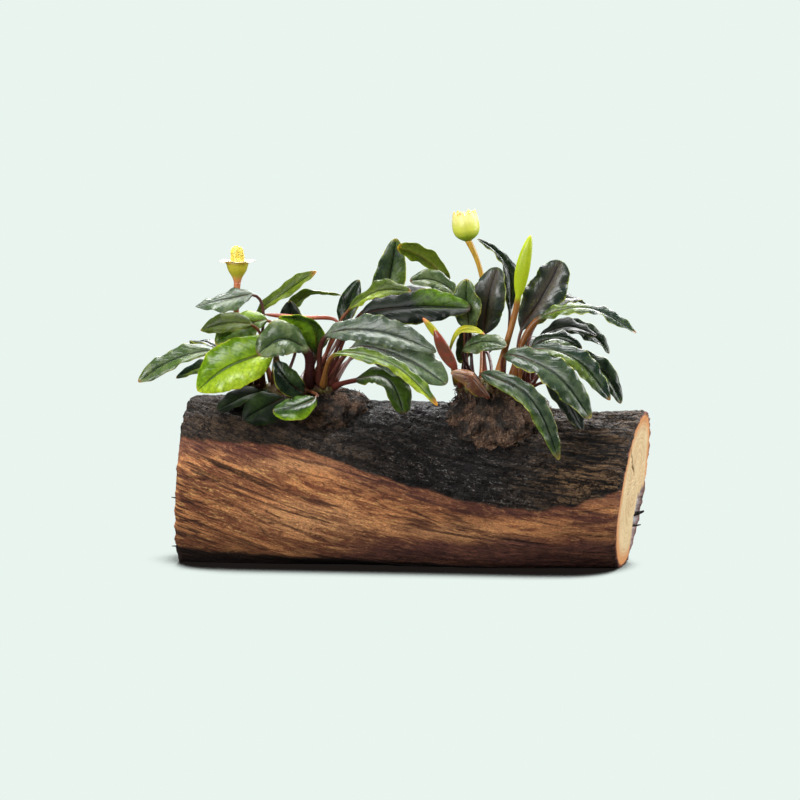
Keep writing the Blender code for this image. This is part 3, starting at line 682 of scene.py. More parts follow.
# Linear colours of the sawn ends.
sawnColours = {
    "cream": (0.80, 0.64, 0.38),
    "tan": (0.62, 0.42, 0.20),
    "ringLine": (0.42, 0.20, 0.08),
    "outerBand": (0.62, 0.22, 0.050),
    "barkRim": (0.13, 0.030, 0.016),
    "pith": (0.12, 0.05, 0.02),
    "speck": (0.36, 0.19, 0.09),
    "chipDark": (0.22, 0.20, 0.21),
    "chipPale": (0.62, 0.60, 0.62),
    # Painted shade in the splits.
    "split": (0.020, 0.010, 0.006),
}


def sawnEndMaterial():
    # Creamy end grain with growth rings, an orange outer band, painted shade in the splits and a grey chipped
    # corner.
    paint = sawnColours
    material, tree, shader = newMaterial("sawnEndGrain")
    place = objectPlace(tree)
    ring, paintedShade, chip = (marked(tree, label) for label in ("ring", "paintedShade", "chip"))
    waver = cloud(tree, place, 90.0, 3.0)
    years = addNode(tree, "ShaderNodeCombineXYZ", {"X": times(tree, ring, 4.0)})
    years = cloud(tree, years.outputs[0], 1.0, 3.0)
    count = plus(tree, times(tree, ring, 14.0), times(tree, waver, 1.3))
    count = plus(tree, count, times(tree, years, 5.0))
    line = calc(tree, "PINGPONG", count, 0.5)
    ringLine = times(tree, rise(tree, line, 0.0, 0.34, 1.0, 0.0), rise(tree, waver, 0.36, 0.6, 0.3, 1.0))
    speck = cloud(tree, place, 1500.0, 3.0, 0.7)
    saw = cloud(tree, stretched(tree, place, 1.0, 0.25, 4.0), 420.0, 3.0)
    colour = blendColour(tree, waver, paint["cream"], paint["tan"])
    colour = blendColour(tree, times(tree, ringLine, 0.45), colour, paint["ringLine"])
    colour = blendColour(tree, rise(tree, ring, 0.76, 0.95, 0.0, 0.85), colour, paint["outerBand"])
    colour = blendColour(tree, rise(tree, ring, 0.955, 0.99), colour, paint["barkRim"])
    colour = blendColour(tree, rise(tree, ring, 0.0, 0.05, 0.8, 0.0), colour, paint["pith"])
    colour = blendColour(tree, rise(tree, speck, 0.52, 0.75, 0.0, 0.5), colour, paint["speck"])
    pale = blendColour(tree, speck, paint["chipDark"], paint["chipPale"])
    colour = blendColour(tree, chip, colour, pale)
    # Painted shade darkens the splits.
    colour = blendColour(tree, paintedShade, colour, paint["split"])
    feedAll(tree, shader, {"Base Color": colour, "Roughness": 0.72})
    height = plus(tree, times(tree, saw, 0.6), times(tree, speck, 0.5))
    addBump(tree, shader, height, 0.25, 0.7)
    return material


def endPlace(cut, y, z):
    # A place a little inside a sawn end.
    inward = 0.8 if cut == "leftCut" else -0.8
    return cutX(log[cut], y, z) + inward, y, z


def stubShell(points, faces, marks, base, way, length, radius, bend):
    # A small tapering stub or splinter that stands out of the log, closed at both ends.
    sides, rings = 7, 5
    way = np.array(way) / np.linalg.norm(way)
    across = np.cross(way, (0.0, 0.0, 1.0))
    across /= np.linalg.norm(across)
    over = np.cross(across, way)
    first = len(points)
    for ring in range(rings):
        share = ring / (rings - 1)
        thick = radius * (1.0 - 0.65 * share)
        middle = np.array(base) + way * length * share + over * bend * share * share
        for side in range(sides):
            turn = 2 * math.pi * side / sides
            jag = 1.0 + 0.2 * noise.noise(Vector((side * 3.1, ring * 1.7, length)))
            points.append(middle + (across * math.cos(turn) + over * math.sin(turn)) * thick * jag)
            # The stubs take a little of the painted shade colour.
            marks["bark"].append(0.8)
            marks["paintedShade"].append(0.3)
            marks["grain"].append(tuple(middle))
            for label in ("ring", "chip", "stain", "redness", "ochre", "under", "pale"):
                marks[label].append(0.0)
    shell = closedLoft(rings, sides, first)
    faces.extend(shell)
    return len(shell)


def buildLog():
    rows, sides, rings = log["rows"], log["sides"], log["capRings"]
    length = cutX(log["rightCut"], 0.0, 25.0) - cutX(log["leftCut"], 0.0, 25.0)
    points = []
    labels = ("bark", "paintedShade", "grain", "ring", "chip", "stain", "redness", "ochre", "under", "pale")
    marks = {label: [] for label in labels}
    for row in range(rows + 1):
        share = row / rows
        alongX = log["middle"] + length * (share - 0.5)
        fromEnd = min(share, 1 - share) * length
        worn = 0.55 * bump01(fromEnd, 0.7)
        for side in range(sides):
            lean = math.pi - 2 * math.pi * side / sides
            out, bark, paintedShade, grain = logSurface(alongX, lean)
            _, y, z = logPoint(alongX, lean, out - worn)
            x = cutX(log["leftCut"], y, z) * (1 - share) + cutX(log["rightCut"], y, z) * share
            x += 0.5 * noise.fractal(Vector((y / 3.2, z / 3.2, 5.0)), 0.8, 2.0, 3) * bump01(fromEnd, 1.6)
            points.append((x, y, z))
            marks["bark"].append(bark)
            marks["paintedShade"].append(paintedShade)
            marks["grain"].append(grain)
            marks["ring"].append(1.0)
            marks["chip"].append(0.0)
            blotches = [markAmount(name, alongX, lean) for name in ("leftBlotch", "rightBlotch")]
            blotches += [0.6 * markAmount(name, alongX, lean) for name in ("brownBand", "mottle")]
            marks["stain"].append(max(blotches))
            pale = [markAmount(name, alongX, lean) for name in ("paleWood", "yellowWood", "goldBand")]
            marks["pale"].append(max(pale))
            marks["redness"].append(rednessAt(alongX, lean))
            brown = 0.34 * min(1.0, max(0.0, (alongX - 26.0) / 22.0))
            brown += 0.12 * min(1.0, max(0.0, (-alongX - 24.0) / 24.0))
            overEdge = np.interp(alongX, barkEdge["x"], barkEdge["front"]) - math.degrees(lean)
            brown += 0.14 * bump01(overEdge - 10.0, 8.0) * min(1.0, max(0.0, -alongX / 14.0))
            # Painted shade on the underside.
            marks["under"].append(undersideAt(alongX, lean))
            marks["ochre"].append(min(1.0, brown + markAmount("ochrePatch", alongX, lean)))
    faces = loftFaces(rows + 1, sides)
    faceMaterials = [0] * len(faces)
    pithY, pithZ = log["pith"]
    for right in (False, True):
        rim = rows * sides if right else 0
        cut = log["rightCut"] if right else log["leftCut"]
        outward = 1.0 if right else -1.0
        rimSizes = np.array([math.hypot(points[rim + side][1] - pithY, points[rim + side][2] - pithZ)
                             for side in range(sides)])
        around = np.concatenate((rimSizes[-16:], rimSizes, rimSizes[:16]))
        evenSizes = np.convolve(around, np.ones(33) / 33, mode="valid")
        before = rim
        for ring in range(1, rings):
            share = 1.0 - ring / rings
            start = len(points)
            for side in range(sides):
                lean = math.pi - 2 * math.pi * side / sides
                rimPoint = points[rim + side]
                y = pithY + (rimPoint[1] - pithY) * share
                z = pithZ + (rimPoint[2] - pithZ) * share
                in_, gap, chip = endRelief(share, y, z, lean, right)
                points.append((cutX(cut, y, z) - outward * in_, y, z))
                marks["bark"].append(0.0)
                # Painted shade in the splits of the sawn ends.
                marks["paintedShade"].append(gap)
                marks["grain"].append((0.0, y, z))
                marks["ring"].append(min(1.0, share * rimSizes[side] / evenSizes[side]))
                marks["chip"].append(chip)
                for label in ("stain", "redness", "ochre", "under", "pale"):
                    marks[label].append(0.0)
            for side in range(sides):
                after = (side + 1) % sides
                quad = (before + side, before + after, start + after, start + side)
                faces.append(quad if right else quad[::-1])
                faceMaterials.append(1)
            before = start
        points.append((cutX(cut, pithY, pithZ), pithY, pithZ))
        for label in marks:
            marks[label].append((0.0, pithY, pithZ) if label == "grain" else 0.0)
        pith = len(points) - 1
        for side in range(sides):
            after = (side + 1) % sides
            fan = (before + side, before + after, pith)
            faces.append(fan if right else fan[::-1])
            faceMaterials.append(1)
    stubs = (
        {"base": endPlace("rightCut", 14.0, 14.2), "way": (1.0, 0.25, 0.08), "length": 3.2, "radius": 0.85,
         "bend": 0.5},
        {"base": endPlace("rightCut", 12.0, 10.9), "way": (1.0, 0.3, -0.05), "length": 3.0, "radius": 0.50,
         "bend": 0.3},
        {"base": endPlace("leftCut", -21.5, 21.0), "way": (-1.0, -0.15, 0.1), "length": 2.2, "radius": 0.32,
         "bend": 0.1},
        {"base": endPlace("leftCut", -17.0, 6.0), "way": (-1.0, -0.2, 0.0), "length": 1.8, "radius": 0.28,
         "bend": 0.0},
    )
    for stub in stubs:
        faceMaterials += [0] * stubShell(points, faces, marks, **stub)
    piece = meshPiece("driftwoodLog", points, faces, [barkAndWoodMaterial(), sawnEndMaterial()], marks,
                      faceMaterials)
    return dress(piece, "driftwood", "driftwood_log")


buildLog()
print("log is built")

# The rhizomes creep along the log: x, lean in degrees and height of the middle over the bark.
rhizomes = {
    "rhizome_left": ((-50.0, 9.0, 3.4), (-42.0, 13.0, 3.8), (-34.0, 17.0, 5.4), (-27.0, 18.0, 6.3),
                     (-21.5, 18.0, 6.1)),
    "rhizome_right": ((15.0, 15.0, 7.2), (21.0, 17.0, 8.4), (28.0, 18.0, 8.8), (37.0, 16.0, 7.8)),
}
rhizomeRadius = 2.2
stalkSink = 0.5
tubeSteps = 70
tubeSides = 20
# Each is one grown piece with a mat of roots, a low dome on the bark.
domeGrid = {"columns": 96, "rows": 56, "seat": 0.4}
rootMats = {
    "rhizome_left": {"x": -24.5, "halfX": 11.2, "lean": 18.0, "halfLean": 25.0, "height": 5.6, "seed": 3,
                     "showing": 0.76},
    "rhizome_right": {"x": 27.6, "halfX": 14.0, "lean": 19.0, "halfLean": 31.0, "height": 8.0, "seed": 8,
                      "showing": 0.72},
}
fibres = {"perSquareMetre": 1400000.0, "length": 2.9, "thickness": 0.10, "lift": 0.50}
strands = {"perRhizome": 48, "radius": 0.30, "spread": 15.0, "wander": 4.0, "steps": 9, "sides": 6}


def rhizomeMiddles(name):
    return np.array([logPoint(x, math.radians(lean), height) for x, lean, height in rhizomes[name]])


def smoothPath(knots, firstWay, count):
    # A smooth curve through the knots that leaves the first one along firstWay.
    knots = np.array(knots)
    spans = np.linalg.norm(np.diff(knots, axis=0), axis=1)
    slopes = np.diff(knots, axis=0) / spans[:, None]
    ways = [np.array(firstWay)]
    for index in range(1, len(spans)):
        before, after = spans[index - 1], spans[index]
        ways.append((slopes[index - 1] * after + slopes[index] * before) / (before + after))
    ways.append(1.5 * slopes[-1] - 0.5 * ways[-1])
    stops = np.concatenate(([0.0], np.cumsum(spans)))
    path = []
    for place in np.linspace(0.0, stops[-1], count):
        index = min(int(np.searchsorted(stops, place, side="right")) - 1, len(spans) - 1)
        span = spans[index]
        t = (place - stops[index]) / span
        startPart = (1 + 2 * t) * (1 - t) ** 2 * knots[index]
        startWay = t * (1 - t) ** 2 * span * ways[index]
        endPart = t * t * (3 - 2 * t) * knots[index + 1]
        endWay = t * t * (t - 1) * span * ways[index + 1]
        path.append(startPart + startWay + endPart + endWay)
    return np.array(path), stops


def rhizomeExit(name, at, around, goal):
    # The point beside a rhizome where a stalk starts, and the way it sets out for its goal.
    middles = rhizomeMiddles(name)
    steps = np.linalg.norm(np.diff(middles, axis=0), axis=1)
    stops = np.concatenate(([0.0], np.cumsum(steps))) / steps.sum()
    middle = np.array([np.interp(at, stops, middles[:, axis]) for axis in range(3)])
    turn = math.radians(around)
    out = np.array((0.0, -math.sin(turn), math.cos(turn)))
    root = middle + out * (rhizomeRadius - stalkSink)
    onward = (goal - root) / np.linalg.norm(goal - root)
    way = 0.45 * out + onward
    return root, way / np.linalg.norm(way)


rootColours = {"shadow": (0.009, 0.006, 0.004), "brown": (0.100, 0.050, 0.028), "straw": (0.28, 0.178, 0.105)}
rhizomeColours = {"brown": (0.085, 0.030, 0.016), "green": (0.150, 0.125, 0.032)}


def rootFibreMaterial():
    material, tree, shader = newMaterial("mattedRoots")
    place = objectPlace(tree)
    patch = cloud(tree, place, 190.0, 4.0, 0.6, 0.5)
    speck = cloud(tree, place, 1700.0, 3.0, 0.7)
    colour = blendColour(tree, rise(tree, patch, 0.40, 0.60), rootColours["shadow"], rootColours["brown"])
    pale = times(tree, rise(tree, speck, 0.52, 0.62), rise(tree, patch, 0.40, 0.60, 0.12, 0.85))
    colour = blendColour(tree, pale, colour, rootColours["straw"])
    feedAll(tree, shader, {"Base Color": colour, "Roughness": 0.8})
    addBump(tree, shader, speck, 0.35, 0.9)
    return material


def rhizomeSkinMaterial():
    material, tree, shader = newMaterial("rhizomeSkin")
    place = objectPlace(tree)
    patch = cloud(tree, place, 420.0, 3.0)
    share = rise(tree, patch, 0.38, 0.62)
    colour = blendColour(tree, share, rhizomeColours["brown"], rhizomeColours["green"])
    feedAll(tree, shader, {"Base Color": colour, "Roughness": 0.5})
    addBump(tree, shader, patch, 0.5, 0.7)
    return material


def fibreTree(material):
    # Short bent fibres lie all over the mesh at random turns, on top of the mesh itself.
    inputs = ("Density", "Length", "Thickness", "Lift", "Seed")
    tree, given, result = newShapeTree("fibresOnMat", inputs)
    half = times(tree, given["Length"], 0.5)
    start = addNode(tree, "ShaderNodeCombineXYZ", {"X": times(tree, half, -1.0)})
    middle = addNode(tree, "ShaderNodeCombineXYZ", {"Y": times(tree, half, 0.5), "Z": given["Lift"]})
    end = addNode(tree, "ShaderNodeCombineXYZ", {"X": half})
    facts = {"Resolution": 5, "Start": start.outputs[0], "Middle": middle.outputs[0], "End": end.outputs[0]}
    bow = addNode(tree, "GeometryNodeCurveQuadraticBezier", facts)
    facts = {"Resolution": 3, "Radius": given["Thickness"]}
    section = addNode(tree, "GeometryNodeCurvePrimitiveCircle", facts)
    facts = {"Curve": bow.outputs[0], "Profile Curve": section.outputs[0], "Fill Caps": True}
    fibre = addNode(tree, "GeometryNodeCurveToMesh", facts)
    facts = {"Mesh": given["Geometry"], "Density": given["Density"], "Seed": given["Seed"]}
    spots = addNode(tree, "GeometryNodeDistributePointsOnFaces", facts)
    turns = addNode(tree, "FunctionNodeRandomValue", {"Seed": given["Seed"]}, data_type="FLOAT_VECTOR")
    turns.inputs[0].default_value = (-0.35, -0.35, 0.0)
    turns.inputs[1].default_value = (0.35, 0.35, 6.28)
    spin = addNode(tree, "FunctionNodeEulerToRotation", {"Euler": turns.outputs[0]})
    facts = {"Rotation": spots.outputs["Rotation"], "Rotate By": spin.outputs[0]}
    turned = addNode(tree, "FunctionNodeRotateRotation", facts, rotation_space="LOCAL")
    sizes = addNode(tree, "FunctionNodeRandomValue", {"Seed": given["Seed"]}, data_type="FLOAT")
    sizes.inputs[2].default_value = 0.45
    sizes.inputs[3].default_value = 1.25
    facts = {"Points": spots.outputs["Points"], "Instance": fibre.outputs[0], "Rotation": turned.outputs[0],
             "Scale": sizes.outputs[1]}
    placed = addNode(tree, "GeometryNodeInstanceOnPoints", facts)
    real = addNode(tree, "GeometryNodeRealizeInstances", {"Geometry": placed.outputs[0]})
    endShapeTree(tree, given, result, real.outputs[0], material)
    return tree


def tubeShell(path, radii, sides):
    # Rings round a path, and the faces of a closed tube.
    ways = np.gradient(path, axis=0)
    ways /= np.linalg.norm(ways, axis=1)[:, None]
    side = np.cross(ways[0], (0.0, 1.0, 0.0))
    side /= np.linalg.norm(side)
    points = []
    for index, way in enumerate(ways):
        side = side - way * np.dot(side, way)
        side /= np.linalg.norm(side)
        over = np.cross(way, side)
        for number in range(sides):
            turn = 2 * math.pi * number / sides
            points.append(path[index] + (side * math.cos(turn) + over * math.sin(turn)) * radii[index])
    return points, closedLoft(len(path), sides)


def domeShell(size):
    # A lumpy dome on the log that is closed below.
    columns, rows, seat = domeGrid["columns"], domeGrid["rows"], domeGrid["seat"]
    points = []
    for row in range(1, rows):
        climb = math.pi * (row / rows - 0.5)
        for column in range(columns):
            turn = 2 * math.pi * column / columns
            along = math.cos(climb) * math.cos(turn)
            across = math.cos(climb) * math.sin(turn)
            over = math.sin(climb)
            lumps = 1.0 + 0.10 * math.sin(7.0 * along + 3.0 * across) * math.cos(6.0 * across - 1.0)
            spot = Vector((along * 5, across * 5, over * 3 + size["seed"]))
            lumps += 0.17 * noise.fractal(spot, 0.7, 2.0, 5)
            x = size["x"] + size["halfX"] * along * lumps
            lean = math.radians(size["lean"] + size["halfLean"] * across * lumps)
            height = seat + size["height"] * size["showing"] * max(over, 0.0) * lumps
            points.append(logPoint(x, lean, height))
    low = logPoint(size["x"], math.radians(size["lean"]), seat)
    top = logPoint(size["x"], math.radians(size["lean"]), size["height"] * size["showing"])
    points += [low, top]
    return points, polarLoft(rows - 1, columns)


def strandShells(name):
    # Roots that leave the rhizome on both sides and run down to the bark.
    knots = np.array(rhizomes[name])
    seed = rootMats[name]["seed"]
    points, faces = [], []
    for number in range(strands["perRhizome"]):
        share = (number + 0.5) / strands["perRhizome"]
        startX = knots[0][0] * (1 - share) + knots[-1][0] * share
        startLean = np.interp(startX, knots[:, 0], knots[:, 1])
        startHeight = np.interp(startX, knots[:, 0], knots[:, 2])
        side = 1.0 if number % 2 else -1.0
        drift = strands["wander"] * noise.noise(Vector((number * 1.7, seed, 0.3)))
        spread = strands["spread"] * (1 + 0.8 * noise.noise(Vector((number * 2.3, seed, 5.3))))
        path = []
        for step in range(strands["steps"]):
            part = step / (strands["steps"] - 1)
            x = startX + 2 * drift * part + 0.5 * noise.noise(Vector((part * 3, number, seed)))
            lean = math.radians(startLean + side * spread * part ** 0.7)
            path.append(logPoint(x, lean, startHeight * (1 - part) ** 1.2 - 0.5 * part))
        radii = strands["radius"] * np.linspace(1.2, 0.6, strands["steps"])
        addShell(points, faces, *tubeShell(np.array(path), radii, strands["sides"]))
    return points, faces


def buildMat(name, pieceName, rootMaterial, skinMaterial, tree):
    points, faces = domeShell(rootMats[name])
    addShell(points, faces, *strandShells(name))
    rootyFaces = len(faces)
    path, _ = smoothPath(rhizomeMiddles(name), (1.0, 0.0, 0.0), tubeSteps)
    rings = np.array([1 + 0.09 * math.sin(index * 1.3) + 0.16 * noise.noise(Vector((index / 6, 0.5, 1.5)))
                      for index in range(tubeSteps)])
    ends = np.sin(np.linspace(0.3, math.pi / 2, 6))
    rings[:6] *= ends
    rings[-6:] *= ends[::-1]
    addShell(points, faces, *tubeShell(path, rhizomeRadius * rings, tubeSides))
    faceMaterials = [0] * rootyFaces + [1] * (len(faces) - rootyFaces)
    piece = meshPiece(pieceName, points, faces, [rootMaterial, skinMaterial], None, faceMaterials)
    values = {"Density": fibres["perSquareMetre"], "Length": fibres["length"] * mm,
              "Thickness": fibres["thickness"] * mm, "Lift": fibres["lift"] * mm,
              "Seed": rootMats[name]["seed"]}
    runShapeTree(piece, tree, values)
    return dress(piece, "root_mat", name)


roots = rootFibreMaterial()
skin = rhizomeSkinMaterial()
matTree = fibreTree(roots)
buildMat("rhizome_left", "rootMatLeft", roots, skin, matTree)
buildMat("rhizome_right", "rootMatRight", roots, skin, matTree)
print("root mats are built")

# One row for each leaf: where its stalk leaves the rhizome, as a share of the rhizome's length
# and an angle from straight up towards the front, then the blade's start, middle and tip as
# seen from the front, its width, the way that the upper side of its middle faces, its look, and
# what isn't plain about it: folds, waves, outline, tip length, painted light that shines through,
# or a shade value that darkens or lightens the whole leaf as painted shade or light.
leafColumns = ("at", "around", "start", "middle", "tip", "width", "face", "look", "other")
leftLeaves = {
    "leaf_left_01": (0.08, 38, (-59.7, 63.3, -4), (-69.9, 61.5, -6), (-81.9, 54.3, -9),
                     8.2, (-0.1, -0.62, 0.78), "sheen", {"wave": 0.8, "lit": (-1, 0.0, 0.8, 0.5)}),
    "leaf_left_02": (0.0, -25, (-57.0, 63.4, 9), (-62.5, 66.2, 14), (-66.8, 66.0, 21),
                     7.0, (0.0, 0.1, 1.0), "dark", {}),
    "leaf_left_03": (0.03, 15, (-55.8, 60.3, 0), (-63.3, 58.8, 1), (-71.0, 55.6, 2),
                     6.0, (-0.1, -0.5, 0.85), "blue", {"lit": (-1, 0.3, 0.9, 0.6)}),
    "leaf_left_04": (0.46, 50, (-41.0, 62.3, -15), (-52.4, 59.7, -17.5), (-63.8, 51.6, -17),
                     15.6, (-0.05, -0.95, 0.28), "bright", {"fold": 0.08, "wave": 0.6, "belly": 0.86,
                      "taper": 0.68, "base": 0.52, "lit": (-1, 0.0, 1.2, 0.8)}),
    "leaf_left_05": (0.22, 44, (-47.5, 71.2, -16.0), (-55.2, 71.6, -16.5), (-62.8, 69.6, -17),
                     8.0, (0.0, -0.8, 0.6), "olive", {"taper": 0.8, "shade": 0.6,
                      "lit": (-1, 0.1, 0.9, 0.15)}),
    "leaf_left_06": (0.34, 20, (-43.0, 72.6, -10.0), (-50.5, 70.6, -11.0), (-58.5, 65.6, -12.5),
                     9.5, (0.1, -0.75, 0.65), "mid", {"lit": (1, 0.0, 0.75, 0.8)}),
    "leaf_left_07": (0.15, 20, (-47.5, 80.4, -6), (-56.0, 78.8, -8), (-64.6, 76.8, -9),
                     10.0, (0.0, -0.58, 0.82), "silver", {"fold": -0.25, "wave": 1.2, "taper": 0.8,
                      "lit": (-1, 0.15, 0.9, 0.4)}),
    "leaf_left_08": (0.31, -8, (-46.5, 74.1, 2), (-36.9, 81.8, 2), (-28.3, 87.5, 1),
                     7.0, (-0.5, -0.65, 0.6), "olive", {"fold": 0.3, "lit": (1, 0.1, 0.9, 0.35),
                      "tipLength": 0.12}),
    "leaf_left_09": (0.40, -25, (-39.0, 73.5, 6), (-32.5, 80.2, 8), (-21.0, 80.5, 10),
                     6.5, (-0.2, 0.4, 0.9), "sheen", {"shade": 1.5, "lit": (-1, 0.1, 0.8, 0.3)}),
    "leaf_left_10": (0.46, -5, (-34.5, 66.0, 0), (-35.6, 72.5, -1), (-36.4, 78.6, -2),
                     8.5, (0.0, -0.96, 0.2), "black", {}),
    "leaf_left_11": (0.68, 14, (-28.2, 62.5, -8), (-29.6, 71.4, -10), (-39.4, 73.6, -12),
                     10.0, (-0.6, -0.72, -0.35), "green", {"fold": 0.3, "lit": (-1, 0.0, 1.2, 0.7),
                      "wave": 0.5, "breadth": 1.12}),
    "leaf_left_12": (0.73, 58, (-31.4, 63.8, -17), (-38.4, 66.9, -19.5), (-45.5, 62.4, -21),
                     12.0, (-0.15, -0.85, 0.5), "sheen", {"fold": 0.1, "stem": 1.6, "wave": 1.1,
                      "belly": 1.0, "taper": 0.5}),
    "leaf_left_13": (0.68, 90, (-28.4, 49.4, -23), (-34.2, 46.9, -26), (-41.0, 45.6, -26),
                     9.0, (-0.1, -0.75, 0.65), "green", {"fold": -0.2, "lit": (-2, 0.0, 1.2, 0.9)}),
    "leaf_left_14": (0.17, 60, (-44.4, 51.9, -9), (-51.6, 49.0, -14), (-57.8, 45.9, -17),
                     10.0, (-0.15, -0.55, 0.82), "shade", {"lit": (-1, 0.0, 0.7, 0.25), "breadth": 1.15}),
    "leaf_left_15": (0.42, 84, (-37.8, 49.6, -17), (-43.8, 46.6, -20.5), (-49.8, 43.0, -22.5),
                     10.0, (-0.1, -0.75, 0.65), "shade", {"fold": -0.1, "lit": (1, 0.2, 0.8, 0.3),
                      "breadth": 1.1}),
    "leaf_left_16": (0.98, -38, (-10.0, 74.0, 8), (-6.3, 86.0, 9), (-4.5, 97.5, 8),
                     9.5, (0.1, -0.95, 0.2), "grey", {"wave": 1.0, "lit": (1, 0.1, 0.8, 0.6)}),
    "leaf_left_17": (0.74, -30, (-20.5, 70.5, 7), (-18.6, 78.0, 8), (-15.6, 85.1, 8),
                     7.5, (-0.3, -0.9, 0.2), "dark", {}),
    "leaf_left_18": (0.82, -12, (-18.4, 76.0, -2), (-10.4, 81.2, -3), (-0.1, 81.4, -4),
                     8.0, (0.0, -0.62, 0.78), "olive", {"wave": 1.6, "lit": (1, 0.0, 0.75, 1.0)}),
    "leaf_left_19": (0.88, 26, (-15.0, 73.6, -9.5), (0.8, 76.4, -12), (17.6, 76.0, -14.5),
                     11.0, (0.0, -0.85, 0.5), "black", {"taper": 0.45, "wave": 1.0,
                      "lit": (-1, 0.46, 1.2, 0.9)}),
    "leaf_left_20": (0.93, -8, (-11.7, 77.4, 1), (-3.3, 80.2, 3), (9.6, 79.8, 5),
                     8.0, (0.0, -0.4, 0.9), "black", {"wave": 1.3, "ripple": 1.6}),
    "leaf_left_21": (0.84, 46, (-25.2, 67.8, -17), (-10.4, 69.2, -20), (7.4, 63.0, -22),
                     9.4, (0.0, -0.78, 0.62), "silver", {"stem": 0.8, "wave": 1.7, "ripple": 1.5}),
    "leaf_left_22": (0.94, 40, (-17.4, 64.2, -12.5), (-1.6, 60.8, -15), (10.5, 53.6, -18),
                     10.2, (0.1, -0.75, 0.65), "silver", {"stem": 0.8, "taper": 0.5, "wave": 1.0,
                      "breadth": 1.4, "shade": 1.5, "lit": (0, 0.5, 1.3, 0.3)}),
    "leaf_left_23": (0.88, 66, (-22.6, 62.2, -20), (-7.4, 60.2, -24), (7.8, 47.2, -27),
                     8.4, (0.15, -0.5, 0.86), "lime", {"stem": 0.8, "taper": 0.5, "breadth": 0.66,
                      "lit": (1, 0.45, 1.2, 0.8), "tipLength": 0.10}),
    "leaf_left_24": (1.0, 62, (-16.2, 54.8, -15), (-8.0, 55.6, -18), (-2.2, 44.8, -23),
                     8.4, (0.3, -0.7, 0.65), "black", {"stem": 0.8, "taper": 0.45, "breadth": 1.35,
                      "lit": (0, 0.0, 1.2, 0.3)}),
    "leaf_left_25": (0.62, -45, (-30.0, 62.0, 8), (-29.0, 68.0, 16), (-31.0, 61.0, 27),
                     9.5, (0.0, 0.35, 0.93), "black", {}),
    "leaf_left_26": (0.88, -55, (-17.0, 62.0, 8), (-10.0, 66.0, 15), (-3.0, 58.0, 24),
                     9.0, (0.2, 0.35, 0.9), "black", {}),
    "leaf_left_27": (0.54, 84, (-32.0, 51.0, -20), (-36.5, 54.5, -22.5), (-40.4, 60.6, -22),
                     7.5, (0.3, -0.9, 0.2), "dark", {"lit": (1, 0.2, 0.9, 0.3)}),
}
